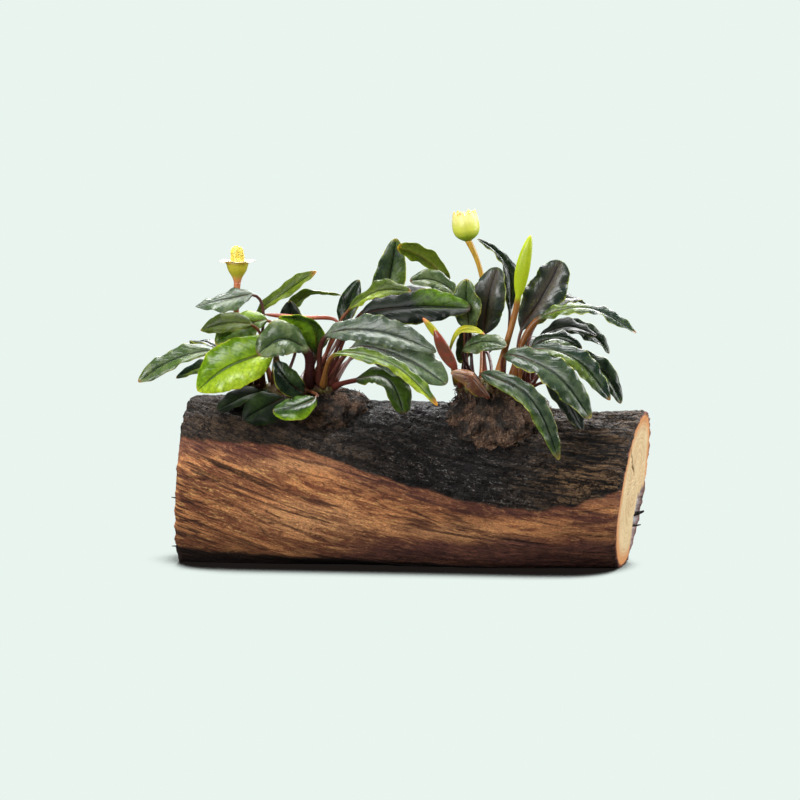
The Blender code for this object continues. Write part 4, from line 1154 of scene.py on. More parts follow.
rightLeaves = {
    "leaf_right_01": (0.62, -8, (29.5, 75.0, 0), (28.4, 89.6, 1), (19.8, 97.0, 0),
                      7.5, (0.75, -0.55, 0.35), "dark", {"wave": 1.2, "breadth": 0.75}),
    "leaf_right_02": (0.40, 8, (21.8, 68.5, -5), (23.2, 79.2, -6), (25.8, 88.4, -5),
                      10.8, (0.0, -0.97, 0.15), "purple", {"taper": 0.45, "wave": 1.3, "ripple": 1.7}),
    "leaf_right_03": (0.22, 22, (17.5, 69.5, -9), (16.5, 77.6, -11), (16.5, 84.8, -12),
                      8.0, (-0.25, -0.93, 0.2), "sheen", {"wave": 1.3, "breadth": 1.25}),
    "leaf_right_04": (0.82, 6, (32.8, 69.6, -6), (39.4, 80.0, -7), (44.6, 90.2, -6),
                      12.4, (0.1, -0.95, 0.22), "purple", {"taper": 0.42, "wave": 1.5, "belly": 1.15,
                       "ripple": 1.9}),
    "leaf_right_05": (0.74, 30, (37.8, 72.8, -11), (52.0, 75.8, -13), (66.4, 68.6, -15),
                      6.8, (0.0, -0.55, 0.83), "blue", {"stem": 1.0, "wave": 2.0, "breadth": 0.9,
                       "ripple": 1.7, "lit": (0, 0.0, 0.55, 0.6)}),
    "leaf_right_06": (0.92, -30, (37.5, 71.8, 4), (45.2, 79.2, 8), (53.0, 77.4, 14),
                      8.5, (-0.1, -0.35, 0.93), "dark", {"wave": 1.7}),
    "leaf_right_07": (1.0, -15, (43.5, 70.4, 0), (52.0, 69.4, 1), (59.2, 62.8, 2),
                      6.5, (0.1, -0.55, 0.83), "dark", {"wave": 1.9}),
    "leaf_right_08": (0.96, 14, (38.5, 67.8, -4), (46.5, 70.6, -5), (55.0, 68.0, -6),
                      7.5, (0.0, -0.62, 0.78), "black", {"wave": 1.8}),
    "leaf_right_09": (0.90, 38, (36.0, 64.8, -10), (43.4, 67.0, -12), (50.5, 64.0, -13),
                      7.0, (0.1, -0.72, 0.68), "dark", {"wave": 1.7, "lit": (1, 0.2, 0.9, 0.5)}),
    "leaf_right_10": (0.85, 55, (34.8, 63.4, -16), (47.4, 61.4, -18.5), (58.6, 48.8, -20),
                      8.4, (0.2, -0.78, 0.6), "blue", {"wave": 1.7, "breadth": 0.92, "ripple": 1.5,
                       "lit": (1, 0.1, 0.9, 0.5)}),
    "leaf_right_11": (1.0, 35, (44.5, 61.5, -9), (56.5, 57.5, -11), (62.0, 47.8, -13),
                      7.5, (0.35, -0.75, 0.55), "dark", {"wave": 1.5, "lit": (1, 0.2, 0.9, 0.3)}),
    "leaf_right_12": (0.66, 62, (27.6, 61.8, -19), (40.8, 57.6, -23), (52.6, 43.4, -25),
                      10.4, (0.15, -0.85, 0.5), "grey", {"taper": 0.5, "wave": 1.5, "breadth": 0.95,
                       "ripple": 1.5}),
    "leaf_right_13": (0.98, 72, (40.0, 54.0, -15), (45.8, 48.5, -18.5), (50.4, 39.8, -21),
                      7.0, (0.3, -0.8, 0.5), "black", {"wave": 1.3}),
    "leaf_right_14": (0.52, 75, (20.8, 56.6, -23), (33.6, 50.6, -28), (43.4, 31.2, -28),
                      8.2, (0.1, -0.88, 0.45), "grey", {"wave": 1.5, "breadth": 0.84,
                       "lit": (2, 0.1, 1.2, 0.9), "tipLength": 0.08}),
    "leaf_right_15": (0.30, 48, (15.5, 63.4, -14), (22.0, 66.2, -17), (28.2, 64.6, -20),
                      7.0, (0.0, -0.7, 0.7), "sheen", {"fold": -0.15}),
    "leaf_right_16": (0.08, 34, (11.6, 64.4, -12.5), (15.0, 69.5, -13.5), (21.8, 68.4, -15),
                      4.2, (-0.1, -0.35, 0.93), "yellow", {"wave": 0.4, "tipLength": 0.08}),
    "leaf_right_17": (0.22, 88, (22.4, 50.2, -26), (17.2, 55.6, -29), (11.6, 57.0, -28.5),
                      7.0, (-0.1, -0.75, 0.65), "bronze", {"fold": -0.75, "wave": 0.6, "breadth": 0.80,
                       "lit": (1, 0.2, 1.2, 0.8)}),
    "leaf_right_18": (0.14, -18, (11.6, 84.0, 1), (4.6, 91.0, 0), (-4.1, 94.7, -2),
                      8.6, (-0.35, 0.55, 0.75), "olive", {"wave": 1.2, "belly": 1.1, "taper": 0.5,
                       "tipLength": 0.08}),
    "leaf_right_19": (0.10, 5, (13.5, 80.2, -6), (6.6, 84.6, -7), (-0.4, 84.2, -9),
                      7.4, (0.0, -0.72, 0.7), "sheen", {"wave": 1.2}),
    "leaf_right_20": (0.48, -50, (23.0, 63.0, 5), (20.0, 68.0, 13), (15.0, 60.0, 23),
                      9.5, (-0.1, 0.35, 0.93), "black", {}),
    "leaf_right_21": (0.84, -58, (36.0, 62.0, 5), (39.0, 67.0, 13), (43.0, 58.0, 23),
                      9.5, (0.1, 0.35, 0.93), "black", {}),
}
youngLeaves = {
    "young_leaf_left": (0.76, 2, (-22.6, 72.8, -5), (-33.0, 73.6, -5), (-44.3, 74.6, -5),
                        2.4, (0.0, -0.3, 0.95), "red", {"rhizome": "rhizome_left", "halfThickness": 1.1,
                         "solid": True, "breadth": 0.62, "lit": (0, 0.1, 0.9, 1.0)}),
    "young_leaf_right": (0.0, 45, (9.0, 66.2, -17), (6.6, 69.4, -18), (3.4, 73.2, -19),
                         2.2, (0.0, -0.95, 0.3), "yellow", {"rhizome": "rhizome_right",
                          "halfThickness": 1.0, "solid": True, "tipLength": 0.35}),
    "sheath_right": (0.06, 70, (13.4, 57.6, -20), (10.2, 62.8, -21), (6.9, 69.6, -22),
                     4.0, (-0.3, -0.9, 0.2), "red", {"rhizome": "rhizome_right", "halfThickness": 1.1,
                      "solid": True}),
    "flower_spear": (0.56, 32, (31.6, 78.6, -12), (32.8, 86.6, -13), (35.3, 97.6, -13),
                     4.3, (0.0, -0.95, 0.2), "spear", {"rhizome": "rhizome_right", "halfThickness": 1.3,
                      "stem": 1.0, "solid": True}),
}

# The finish of each kind of leaf, its linear colours in the order of leafColours. Glow is how much
# light comes through the blade. The lit colour is painted light that shines through the blade and
# the rim colour a painted glow along backlit edges.
leafColours = ("upper", "patch", "vein", "under", "rim", "stalk", "tip", "lit")
leafLooks = {
    "dark": ((0.006, 0.013, 0.006), (0.015, 0.029, 0.011), (0.002, 0.004, 0.002), (0.070, 0.110, 0.020),
             (0.42, 0.42, 0.04), (0.070, 0.018, 0.011), (0.09, 0.05, 0.02), (0.075, 0.140, 0.010),
             {"glow": 0.25, "rough": 0.26, "shine": 0.27}),
    "black": ((0.004, 0.007, 0.004), (0.009, 0.014, 0.007), (0.002, 0.003, 0.002), (0.045, 0.060, 0.018),
              (0.20, 0.20, 0.03), (0.060, 0.014, 0.010), (0.04, 0.02, 0.015), (0.090, 0.180, 0.008),
              {"glow": 0.15, "rough": 0.36, "shine": 0.12}),
    # Painted shade: near-black, dull colours for leaves that lie in shadow over the log.
    "shade": ((0.004, 0.008, 0.003), (0.009, 0.017, 0.004), (0.003, 0.005, 0.002), (0.020, 0.030, 0.008),
              (0.030, 0.045, 0.010), (0.040, 0.010, 0.008), (0.012, 0.012, 0.006), (0.026, 0.058, 0.005),
              {"glow": 0.10, "rough": 0.58, "shine": 0.07}),
    # Pale grey-green, partly the leaves' own tone and partly painted sheen.
    "silver": ((0.050, 0.072, 0.046), (0.100, 0.125, 0.082), (0.003, 0.005, 0.004), (0.110, 0.160, 0.028),
               (0.10, 0.12, 0.05), (0.060, 0.016, 0.010), (0.05, 0.05, 0.02), (0.070, 0.130, 0.016),
               {"glow": 0.25, "rough": 0.30}),
    "yellow": ((0.48, 0.44, 0.018), (0.40, 0.42, 0.018), (0.25, 0.24, 0.010), (0.30, 0.34, 0.020),
               (0.60, 0.54, 0.06), (0.26, 0.16, 0.022), (0.62, 0.16, 0.08), (0.560, 0.500, 0.030),
               {"glow": 0.40, "rough": 0.34}),
    "purple": ((0.017, 0.028, 0.020), (0.086, 0.066, 0.058), (0.003, 0.003, 0.003), (0.070, 0.070, 0.035),
               (0.26, 0.30, 0.06), (0.12, 0.030, 0.016), (0.030, 0.042, 0.02), (0.080, 0.110, 0.050),
               {"glow": 0.15, "rough": 0.31, "shine": 0.42, "core": 0.75}),
    "grey": ((0.028, 0.047, 0.025), (0.054, 0.078, 0.037), (0.003, 0.006, 0.004), (0.110, 0.150, 0.030),
             (0.46, 0.44, 0.06), (0.10, 0.028, 0.016), (0.16, 0.10, 0.03), (0.110, 0.180, 0.018),
             {"glow": 0.25, "rough": 0.26, "shine": 0.29}),
    # Pale grey-green, partly the leaves' own tone and partly painted sheen.
    "sheen": ((0.045, 0.075, 0.026), (0.105, 0.138, 0.054), (0.006, 0.014, 0.005), (0.110, 0.160, 0.028),
              (0.32, 0.26, 0.06), (0.040, 0.009, 0.009), (0.20, 0.07, 0.03), (0.070, 0.130, 0.016),
              {"glow": 0.25, "rough": 0.24}),
    "blue": ((0.012, 0.027, 0.016), (0.028, 0.048, 0.023), (0.003, 0.006, 0.004), (0.100, 0.140, 0.030),
             (0.42, 0.46, 0.06), (0.19, 0.070, 0.018), (0.22, 0.09, 0.02), (0.160, 0.230, 0.018),
             {"glow": 0.25, "rough": 0.26, "shine": 0.29}),
    "olive": ((0.048, 0.076, 0.006), (0.080, 0.115, 0.009), (0.016, 0.026, 0.004), (0.105, 0.140, 0.014),
              (0.38, 0.38, 0.04), (0.15, 0.048, 0.018), (0.26, 0.09, 0.02), (0.190, 0.260, 0.014),
              {"glow": 0.50, "rough": 0.42, "shine": 0.17}),
    "bright": ((0.105, 0.205, 0.004), (0.205, 0.330, 0.008), (0.018, 0.060, 0.002), (0.24, 0.34, 0.02),
               (0.46, 0.46, 0.02), (0.18, 0.10, 0.02), (0.34, 0.36, 0.03), (0.420, 0.540, 0.030),
               {"glow": 0.40, "rough": 0.27}),
    "green": ((0.014, 0.040, 0.004), (0.045, 0.105, 0.008), (0.004, 0.014, 0.002), (0.110, 0.190, 0.015),
              (0.40, 0.44, 0.04), (0.12, 0.040, 0.016), (0.16, 0.13, 0.02), (0.250, 0.430, 0.012),
              {"glow": 0.40, "rough": 0.25}),
    "mid": ((0.045, 0.085, 0.010), (0.080, 0.140, 0.016), (0.012, 0.032, 0.004), (0.130, 0.200, 0.018),
            (0.40, 0.42, 0.04), (0.14, 0.045, 0.018), (0.16, 0.08, 0.02), (0.200, 0.310, 0.016),
            {"glow": 0.45, "rough": 0.27}),
    "lime": ((0.050, 0.100, 0.007), (0.120, 0.190, 0.012), (0.028, 0.060, 0.005), (0.260, 0.320, 0.020),
             (0.56, 0.54, 0.05), (0.19, 0.080, 0.020), (0.50, 0.17, 0.03), (0.330, 0.400, 0.020),
             {"glow": 0.50, "rough": 0.32}),
    "bronze": ((0.095, 0.032, 0.020), (0.150, 0.072, 0.032), (0.055, 0.020, 0.010), (0.190, 0.085, 0.030),
               (0.34, 0.15, 0.04), (0.20, 0.050, 0.022), (0.30, 0.12, 0.03), (0.240, 0.105, 0.040),
               {"glow": 0.35, "rough": 0.32}),
    "red": ((0.230, 0.044, 0.024), (0.130, 0.045, 0.022), (0.090, 0.014, 0.010), (0.240, 0.045, 0.026),
            (0.30, 0.09, 0.04), (0.20, 0.045, 0.024), (0.36, 0.13, 0.04), (0.400, 0.110, 0.060),
            {"glow": 0.40, "rough": 0.32}),
    "spear": ((0.36, 0.45, 0.010), (0.39, 0.47, 0.013), (0.26, 0.38, 0.008), (0.38, 0.46, 0.016),
              (0.50, 0.54, 0.04), (0.26, 0.105, 0.022), (0.54, 0.40, 0.06), (0.500, 0.560, 0.030),
              {"glow": 0.40, "rough": 0.34}),
}
leafShape = {
    "stemRadius": 0.50,
    "sheath": 0.55,
    "halfThickness": 0.20,
    "stemRows": 14,
    "bladeRows": 56,
    "bulge": 0.12,
    "waveHeight": 0.095,
    "waveRun": 4.4,
    "groove": 0.16,
    "rib": 0.30,
    "rimRipple": 0.13,
    "twist": 0.45,
    "pathSteps": 361,
}
acrossStops = (1.0, 0.985, 0.94, 0.86, 0.76, 0.65, 0.54, 0.43, 0.32, 0.22, 0.14, 0.08, 0.035, 0.0)


def leafSkinGroup():
    inputs = [(label.capitalize(), "NodeSocketColor", (0.1, 0.1, 0.1, 1.0)) for label in leafColours]
    inputs += [("Roughness", "NodeSocketFloat", 0.3), ("Veins", "NodeSocketFloat", 9.0)]
    inputs += [("Core", "NodeSocketFloat", 0.0)]
    outputs = [("Colour", "NodeSocketColor"), ("Roughness", "NodeSocketFloat"), ("Height", "NodeSocketFloat")]
    tree, given, result = newGroup("leafSkin", inputs, outputs)
    across = calc(tree, "ABSOLUTE", marked(tree, "across"))
    labels = ("along", "upperSide", "shade", "tipLength", "lit", "smooth")
    along, upper, shade, tipLength, lit, smooth = (marked(tree, label) for label in labels)
    place = objectPlace(tree)
    blotch = cloud(tree, place, 240.0, 3.0)
    dimple = cloud(tree, place, 620.0, 2.0, 0.6)
    fine = cloud(tree, place, 1300.0, 3.0, 0.6)
    wander = times(tree, blotch, 0.9)
    slant = minus(tree, along, times(tree, across, 0.24))
    count = plus(tree, times(tree, slant, given["Veins"]), wander)
    veinLine = rise(tree, calc(tree, "PINGPONG", count, 0.5), 0.0, 0.16, 1.0, 0.0)
    onBlade = rise(tree, along, 0.02, 0.10)
    midrib = rise(tree, across, 0.025, 0.085, 1.0, 0.0)
    midrib = times(tree, midrib, onBlade)
    veinLine = times(tree, veinLine, minus(tree, onBlade, smooth))
    midrib = times(tree, midrib, minus(tree, 1.0, smooth))
    patches = rise(tree, blotch, 0.42, 0.64)
    core = plus(tree, across, times(tree, minus(tree, blotch, 0.5), 0.5))
    core = rise(tree, core, 0.05, 0.66, 1.0, 0.0)
    patches = blendColour(tree, given["Core"], patches, core)
    colour = blendColour(tree, patches, given["Upper"], given["Patch"])
    # Painted light: the lit colour where light seems to shine through the blade.
    mottled = times(tree, lit, rise(tree, dimple, 0.30, 0.62, 0.45, 1.0))
    colour = blendColour(tree, mottled, colour, given["Lit"])
    colour = blendColour(tree, times(tree, veinLine, 0.16), colour, given["Vein"])
    colour = blendColour(tree, times(tree, midrib, 0.85), colour, given["Vein"])
    below = blendColour(tree, times(tree, veinLine, 0.35), given["Under"], given["Patch"])
    below = blendColour(tree, times(tree, midrib, 0.5), below, given["Stalk"])
    colour = blendColour(tree, upper, below, colour)
    # Painted glow of backlight along the edges, broken up and weaker on the underside.
    ragged = plus(tree, across, times(tree, fine, 0.05))
    rim = times(tree, rise(tree, ragged, 0.960, 1.01), onBlade)
    rim = times(tree, rim, rise(tree, blotch, 0.42, 0.58, 0.10, 1.0))
    rim = times(tree, rim, rise(tree, upper, 0.0, 0.5, 0.30, 1.0))
    colour = blendColour(tree, times(tree, rim, 0.85), colour, given["Rim"])
    tipStart = minus(tree, 1.0, tipLength)
    tip = calc(tree, "DIVIDE", minus(tree, along, tipStart), tipLength)
    colour = blendColour(tree, rise(tree, tip, 0.0, 1.0, 0.0, 0.9), colour, given["Tip"])
    stalkEnd = rise(tree, along, -0.06, 0.07, 1.0, 0.0)
    ribEnd = times(tree, midrib, rise(tree, along, 0.0, 0.45, 0.7, 0.0))
    colour = blendColour(tree, calc(tree, "MAXIMUM", stalkEnd, ribEnd), colour, given["Stalk"])
    speckle = rise(tree, fine, 0.3, 0.7, -0.20, 0.20)
    speckle = times(tree, speckle, rise(tree, smooth, 0.0, 1.0, 1.0, 0.25))
    # The leaf's tone, with painted shade or light where its row gives a shade value, scales the colour.
    light = times(tree, shade, plus(tree, speckle, 1.0))
    colour = shaded(tree, colour, light)
    tree.links.new(colour, result["Colour"])
    rough = plus(tree, given["Roughness"], rise(tree, blotch, 0.38, 0.64, -0.03, 0.10))
    tree.links.new(rough, result["Roughness"])
    height = times(tree, veinLine, -0.30)
    height = plus(tree, height, times(tree, midrib, -0.6))
    height = plus(tree, height, times(tree, fine, 0.60))
    height = plus(tree, height, times(tree, dimple, 0.26))
    height = times(tree, height, rise(tree, smooth, 0.0, 1.0, 1.0, 0.25))
    tree.links.new(height, result["Height"])
    return tree


def leafMaterial(name, look, group):
    material, tree, shader = newMaterial(name + "Leaf")
    node = addNode(tree, "ShaderNodeGroup")
    node.node_tree = group
    *colours, finish = look
    for label, colour in zip(leafColours, colours):
        feed(tree, node.inputs[label.capitalize()], colour)
    shine = finish.get("shine", 0.34)
    feedAll(tree, node, {"Roughness": finish["rough"], "Core": finish.get("core", 0.0)})
    feedAll(tree, shader, {"Base Color": node.outputs["Colour"], "Roughness": node.outputs["Roughness"],
                           "Specular IOR Level": shine, "Coat Weight": 0.25 * shine, "Coat Roughness": 0.20})
    addBump(tree, shader, node.outputs["Height"], 0.16, 0.8)
    addGlow(shader, finish["glow"], (0.9, 1.0, 0.25), 1.1)
    return material


def bladeOutline(share, taper, belly, base):
    # Half breadth as a share of the widest, from the start of the blade to its tip.
    return math.sin(math.pi * share ** belly) ** (base + (taper - base) * share)


def leafFrames(path, face, middleIndex):
    # The way along the leaf and the way across it at every point of its path.
    ways = np.gradient(path, axis=0)
    ways /= np.linalg.norm(ways, axis=1)[:, None]
    sides = np.zeros_like(ways)
    first = np.cross(ways[middleIndex], face)
    sides[middleIndex] = first / np.linalg.norm(first)
    onward = range(middleIndex + 1, len(path))
    backward = range(middleIndex - 1, -1, -1)
    for order, step in ((onward, -1), (backward, 1)):
        for index in order:
            side = sides[index + step]
            side = side - ways[index] * np.dot(side, ways[index])
            sides[index] = side / np.linalg.norm(side)
    return ways, sides


def litAmount(facts, stop, blade):
    # How much painted light that shines through lies over a stretch of the length: on both halves
    # (side 0), on one (1 or -1) or only along one edge (2 or -2).
    side, first, last, strength = facts
    half = 1.0 if side == 0 else min(1.0, max(0.0, 0.35 + 1.3 * side * stop))
    if abs(side) == 2:
        half = min(1.0, max(0.0, side * stop - 0.9)) ** 1.5
    ends = min(1.0, max(0.0, (blade - first) / 0.2)) * min(1.0, max(0.0, (last - blade) / 0.2))
    return strength * half * ends


def leafShell(name, rhizome, leaf):
    # A thin closed blade with a groove above, a rib below and wavy edges, in one piece with its stalk.
    solid = leaf.get("solid", False)
    stem = leaf.get("stem", leafShape["stemRadius"])
    halfThickness = leaf.get("halfThickness", leafShape["halfThickness"])
    if solid:
        halfThickness *= leaf.get("breadth", 1.0)
    fold = leaf.get("fold", 0.15)
    taper = leaf.get("taper", 0.56)
    width = leaf["width"] * leaf.get("breadth", 1.0)
    seed = sum((number + 3) * ord(letter) for number, letter in enumerate(name)) * 0.137
    start = seenPoint(*leaf["start"])
    root, rootWay = rhizomeExit(rhizome, leaf["at"], leaf["around"], start)
    knots = [root, start, seenPoint(*leaf["middle"]), seenPoint(*leaf["tip"])]
    steps = leafShape["pathSteps"]
    path, stops = smoothPath(knots, rootWay, steps)
    middleIndex = int(np.searchsorted(np.linspace(0.0, stops[-1], steps), stops[2]))
    ways, sides = leafFrames(path, np.array(leaf["face"]), middleIndex)
    bladeStart = stops[1] / stops[-1]
    bladeLength = stops[-1] - stops[1]
    stemShares = [bladeStart * number / leafShape["stemRows"] for number in range(leafShape["stemRows"])]
    bladeShares = []
    for number in range(leafShape["bladeRows"]):
        bladeShares.append(1 - (1 - number / leafShape["bladeRows"]) ** 1.45)
    shares = stemShares + [bladeStart + share * (1 - bladeStart) for share in bladeShares]
    tops = list(acrossStops) + [-stop for stop in acrossStops[-2::-1]]
    bottoms = tops[-2:0:-1]
    ringStops = [(stop, 1.0) for stop in tops] + [(stop, -1.0) for stop in bottoms]
    waves = bladeLength / leafShape["waveRun"]
    waveHeight = leaf.get("wave", 1.0) * leafShape["waveHeight"] * leaf["width"]
    points = []
    marks = {label: [] for label in ("across", "along", "upperSide", "lit")}
    turnWay = noise.noise(Vector((seed, 3.5, 7.5)))
    # Each leaf's tone differs a little at random. A shade value in its row darkens or lightens the whole leaf
    # as painted shade or light.
    toneAndPaintedLight = leaf.get("shade", 1.0) * (1.0 + 0.22 * noise.noise(Vector((seed, 0.5, 0.5))))
    tipLength = leaf.get("tipLength", 0.05)
    rimRipple = leafShape["rimRipple"] * leaf.get("ripple", 1.0)
    for share in shares:
        place = share * (steps - 1)
        index = min(int(place), steps - 2)
        part = place - index
        middle = path[index] * (1 - part) + path[index + 1] * part
        way = ways[index] * (1 - part) + ways[index + 1] * part
        side = sides[index] * (1 - part) + sides[index + 1] * part
        blade = max(0.0, (share - bladeStart) / (1 - bladeStart))
        if not solid:
            turn = noise.noise(Vector((blade * 1.9, seed, 2.0))) + turnWay * (blade - 0.4)
            turn = leafShape["twist"] * turn * min(1.0, blade * 4)
            side = side * math.cos(turn) + np.cross(side, way) * math.sin(turn)
        over = np.cross(side, way)
        along = blade if share >= bladeStart else share / bladeStart - 1.0
        breadth = bladeOutline(blade, taper, leaf.get("belly", 0.9), leaf.get("base", 0.7))
        blend = min(1.0, breadth * 1.5)
        stalk = 0.92 * stem + leafShape["sheath"] * math.exp(-((share / (bladeStart * 0.26)) ** 2))
        halfWidth = max(stalk * (1 - blade), width / 2 * breadth)
        halfHeight = stalk * (1 - blade) + (halfThickness - stalk * (1 - blade)) * blend
        roundness = 2.0 if solid else 2.0 + 6.0 * blend
        for stop, face in ringStops:
            sign = 1.0 if stop >= 0 else -1.0
            ripple = noise.noise(Vector((blade * waves * 0.9, sign * 3.0, seed)))
            ripple += 0.30 * noise.noise(Vector((blade * waves * 3.1, sign * 3.0, seed + 9)))
            reach = 1.0 + (0 if solid else rimRipple * (ripple - 0.1) * blend)
            across = halfWidth * stop * reach
            size = abs(stop)
            lift = face * halfHeight * math.sqrt(max(0.0, 1 - size ** roundness))
            lift += fold * blend * (math.sqrt(across * across + 0.09) - 0.3)
            if not solid:
                wave = 0.30 * math.sin(2 * math.pi * (waves * blade + 0.31 * sign + seed))
                wave += 1.5 * noise.noise(Vector((blade * waves * 0.8 + 5, sign * 2.0, seed)))
                ends = min(1.0, blade * 6) * min(1.0, (1 - blade) * 5 + 0.25)
                lift += blend * waveHeight * size ** 2.6 * wave * ends
                sway = noise.noise(Vector((blade * 2.2, stop * 0.9, seed + 3)))
                lift += 0.05 * leaf["width"] * blend * sway
                lift += leafShape["bulge"] * halfWidth * 4 * size * (1 - size) * blend
                if face > 0:
                    lift -= leafShape["groove"] * math.exp(-((across / 0.32) ** 2)) * blend
                else:
                    lift -= leafShape["rib"] * math.exp(-((across / 0.45) ** 2)) * blend * (1 - 0.7 * blade)
            points.append(middle + side * across + over * lift)
            marks["across"].append(stop)
            marks["along"].append(along)
            marks["upperSide"].append(0.5 + 0.5 * face if size < 0.99 else 0.5)
            marks["lit"].append(litAmount(leaf.get("lit", (0, 0.0, 1.0, 0.0)), stop, blade))
    ringSize = len(ringStops)
    faces = loftFaces(len(shares), ringSize)
    faces.append(tuple(range(ringSize - 1, -1, -1)))
    points.append(path[-1])
    marks["across"].append(0.0)
    marks["along"].append(1.0)
    marks["upperSide"].append(0.5)
    marks["lit"].append(0.0)
    last = (len(shares) - 1) * ringSize
    for number in range(ringSize):
        faces.append((last + number, last + (number + 1) % ringSize, len(points) - 1))
    marks["shade"] = [toneAndPaintedLight] * len(points)
    marks["tipLength"] = [tipLength] * len(points)
    marks["smooth"] = [1.0 if solid else 0.0] * len(points)
    return points, faces, marks


def pieceNameOf(node):
    first, *others = node.split("_")
    return first + "".join(word.capitalize() for word in others)


# The leaves that aren't in the plain slot.
leafSlots = {
    "leaf_left_04": "bright_leaf",
    "young_leaf_left": "red_young_leaf",
    "sheath_right": "red_young_leaf",
    "young_leaf_right": "green_young_leaf",
    "flower_spear": "green_young_leaf",
}
leafGroup = leafSkinGroup()
leafMaterials = {name: leafMaterial(name, look, leafGroup) for name, look in leafLooks.items()}


def buildLeaves(rows, rhizome):
    for name, row in rows.items():
        leaf = dict(zip(leafColumns, row))
        leaf.update(leaf["other"])
        points, faces, marks = leafShell(name, leaf.get("rhizome", rhizome), leaf)
        piece = meshPiece(pieceNameOf(name), points, faces, [leafMaterials[leaf["look"]]], marks)
        dress(piece, leafSlots.get(name, "leaf"), name)


buildLeaves(leftLeaves, "rhizome_left")
buildLeaves(rightLeaves, "rhizome_right")
buildLeaves(youngLeaves, "rhizome_right")
print("leaves are built")

# The open flower: a stalk, a cup with a flat wavy limb and a beaded spadix. The other is still a bud.
# Turned outlines are pairs of radius and height over the top of the stalk.
openFlower = {
    "foot": (-52.3, 84.2, 3.0),
    "cup": ((0.0, -0.3), (1.0, -0.2), (1.10, 0.35), (1.30, 1.1), (1.75, 2.1), (2.4, 3.0), (2.95, 4.1),
            (3.2, 5.2), (3.4, 6.0), (4.1, 6.4), (5.0, 6.55), (5.6, 6.6), (5.75, 6.7), (5.6, 6.8), (5.0, 6.75),
            (4.0, 6.65), (3.1, 6.3), (2.8, 5.4), (2.5, 4.2), (2.0, 3.3), (1.2, 2.9), (0.0, 2.8)),
    "spadix": ((0.0, 3.0), (1.4, 3.2), (1.9, 4.2), (2.05, 5.6), (1.95, 7.2), (1.8, 8.6), (1.75, 9.8),
               (1.4, 10.6), (0.7, 11.0), (0.0, 11.1)),
    "beads": {"perSquareMetre": 9000000.0, "gap": 0.42, "radius": 0.27, "seed": 5},
    "stalk": {"at": 0.13, "around": -50, "radius": 0.92, "flare": 0.22,
              "points": ((-50.5, 62.0, 5.5), (-52.6, 74.0, 4.5))},
}
closedFlower = {
    "foot": (17.0, 96.4, 3.0),
    "lean": math.radians(-8.0),
    "bud": ((0.0, 0.0), (1.0, 0.05), (1.5, 0.35), (2.5, 0.95), (3.3, 1.7), (3.85, 2.9), (4.0, 4.2),
            (3.95, 5.6), (3.75, 6.9), (3.5, 8.0), (3.3, 8.75), (3.05, 8.85), (2.95, 8.4), (2.6, 8.0),
            (1.5, 7.9), (0.0, 7.9)),
    "stalk": {"at": 0.34, "around": -22, "radius": 0.80, "flare": 0.3,
              "points": ((21.5, 68.0, 1.5), (21.3, 85.2, 3.0), (19.5, 91.5, 3.0))},
}


def finerOutline(profile, parts):
    profile = np.array(profile)
    steps = np.linalg.norm(np.diff(profile, axis=0), axis=1)
    stops = np.concatenate(([0.0], np.cumsum(steps)))
    places = np.linspace(0.0, stops[-1], parts)
    finer = np.stack([np.interp(places, stops, profile[:, axis]) for axis in (0, 1)], axis=1)
    for _ in range(2):
        finer[1:-1] = 0.25 * finer[:-2] + 0.5 * finer[1:-1] + 0.25 * finer[2:]
    return finer


def turnedShell(profile, foot, lean, wobble, parts=60, sides=84):
    # Turns an outline about its stalk, each point moved by wobble(radius, height, turn).
    outline = finerOutline(profile, parts)
    foot = seenPoint(*foot)
    points, heights = [], []
    tilt = np.array(((math.cos(lean), 0, math.sin(lean)), (0, 1, 0), (-math.sin(lean), 0, math.cos(lean))))
    for radius, height in outline[1:-1]:
        for side in range(sides):
            turn = 2 * math.pi * side / sides
            r, h = wobble(radius, height, turn)
            points.append(foot + tilt @ np.array((r * math.cos(turn), r * math.sin(turn), h)))
            heights.append(h)
    for pole in (outline[0][1], outline[-1][1]):
        points.append(foot + tilt @ np.array((0.0, 0.0, pole)))
        heights.append(pole)
    return points, polarLoft(parts - 2, sides), {"height": heights}


def cupWobble(radius, height, turn):
    limb = max(0.0, (radius - 3.3) / 2.6)
    high = height + limb * (0.16 * math.sin(3 * turn + 0.6) + 0.18 * math.sin(7 * turn + 2.0) - 0.1)
    wide = radius * (1 + limb * (0.05 * math.sin(2 * turn) + 0.05 * math.sin(5 * turn + 1.0) - 0.03))
    return wide * (1 + 0.012 * math.sin(9 * turn)), high


def spadixWobble(radius, height, turn):
    return radius * (1 + 0.05 * math.sin(3 * turn + height)), height


def budWobble(radius, height, turn):
    top = max(0.0, (height - 6.5) / 2.4)
    teeth = 0.45 * math.sin(6 * turn) + 0.35 * math.sin(11 * turn + 1.0)
    flute = 1 + 0.035 * math.cos(4 * turn + 0.4) * min(1.0, height / 4)
    return radius * flute * (1 + 0.05 * top * math.sin(5 * turn)), height + top * teeth * (radius > 2.7)


def petalMaterial(name, low, middle, turn, high, spots, glow):
    # Colour by the height over the stalk. Each stop is a height and a colour, and the last change
    # starts at turn.
    material, tree, shader = newMaterial(name)
    place = objectPlace(tree)
    height = marked(tree, "height")
    soft = cloud(tree, place, 500.0, 3.0)
    speck = cloud(tree, place, 1500.0, 2.0)
    level = plus(tree, height, times(tree, soft, 1.2))
    colour = blendColour(tree, rise(tree, level, low[0], middle[0]), low[1], middle[1])
    colour = blendColour(tree, rise(tree, level, turn, high[0]), colour, high[1])
    edge = times(tree, rise(tree, speck, 0.50, 0.58), rise(tree, level, high[0], high[0] + 0.8))
    colour = blendColour(tree, times(tree, edge, spots[0]), colour, spots[1])
    feedAll(tree, shader, {"Base Color": colour, "Roughness": 0.42})
    addGlow(shader, glow, (1.0, 0.8, 0.4), 1.2)
    addBump(tree, shader, speck, 0.12, 0.7)
    return material


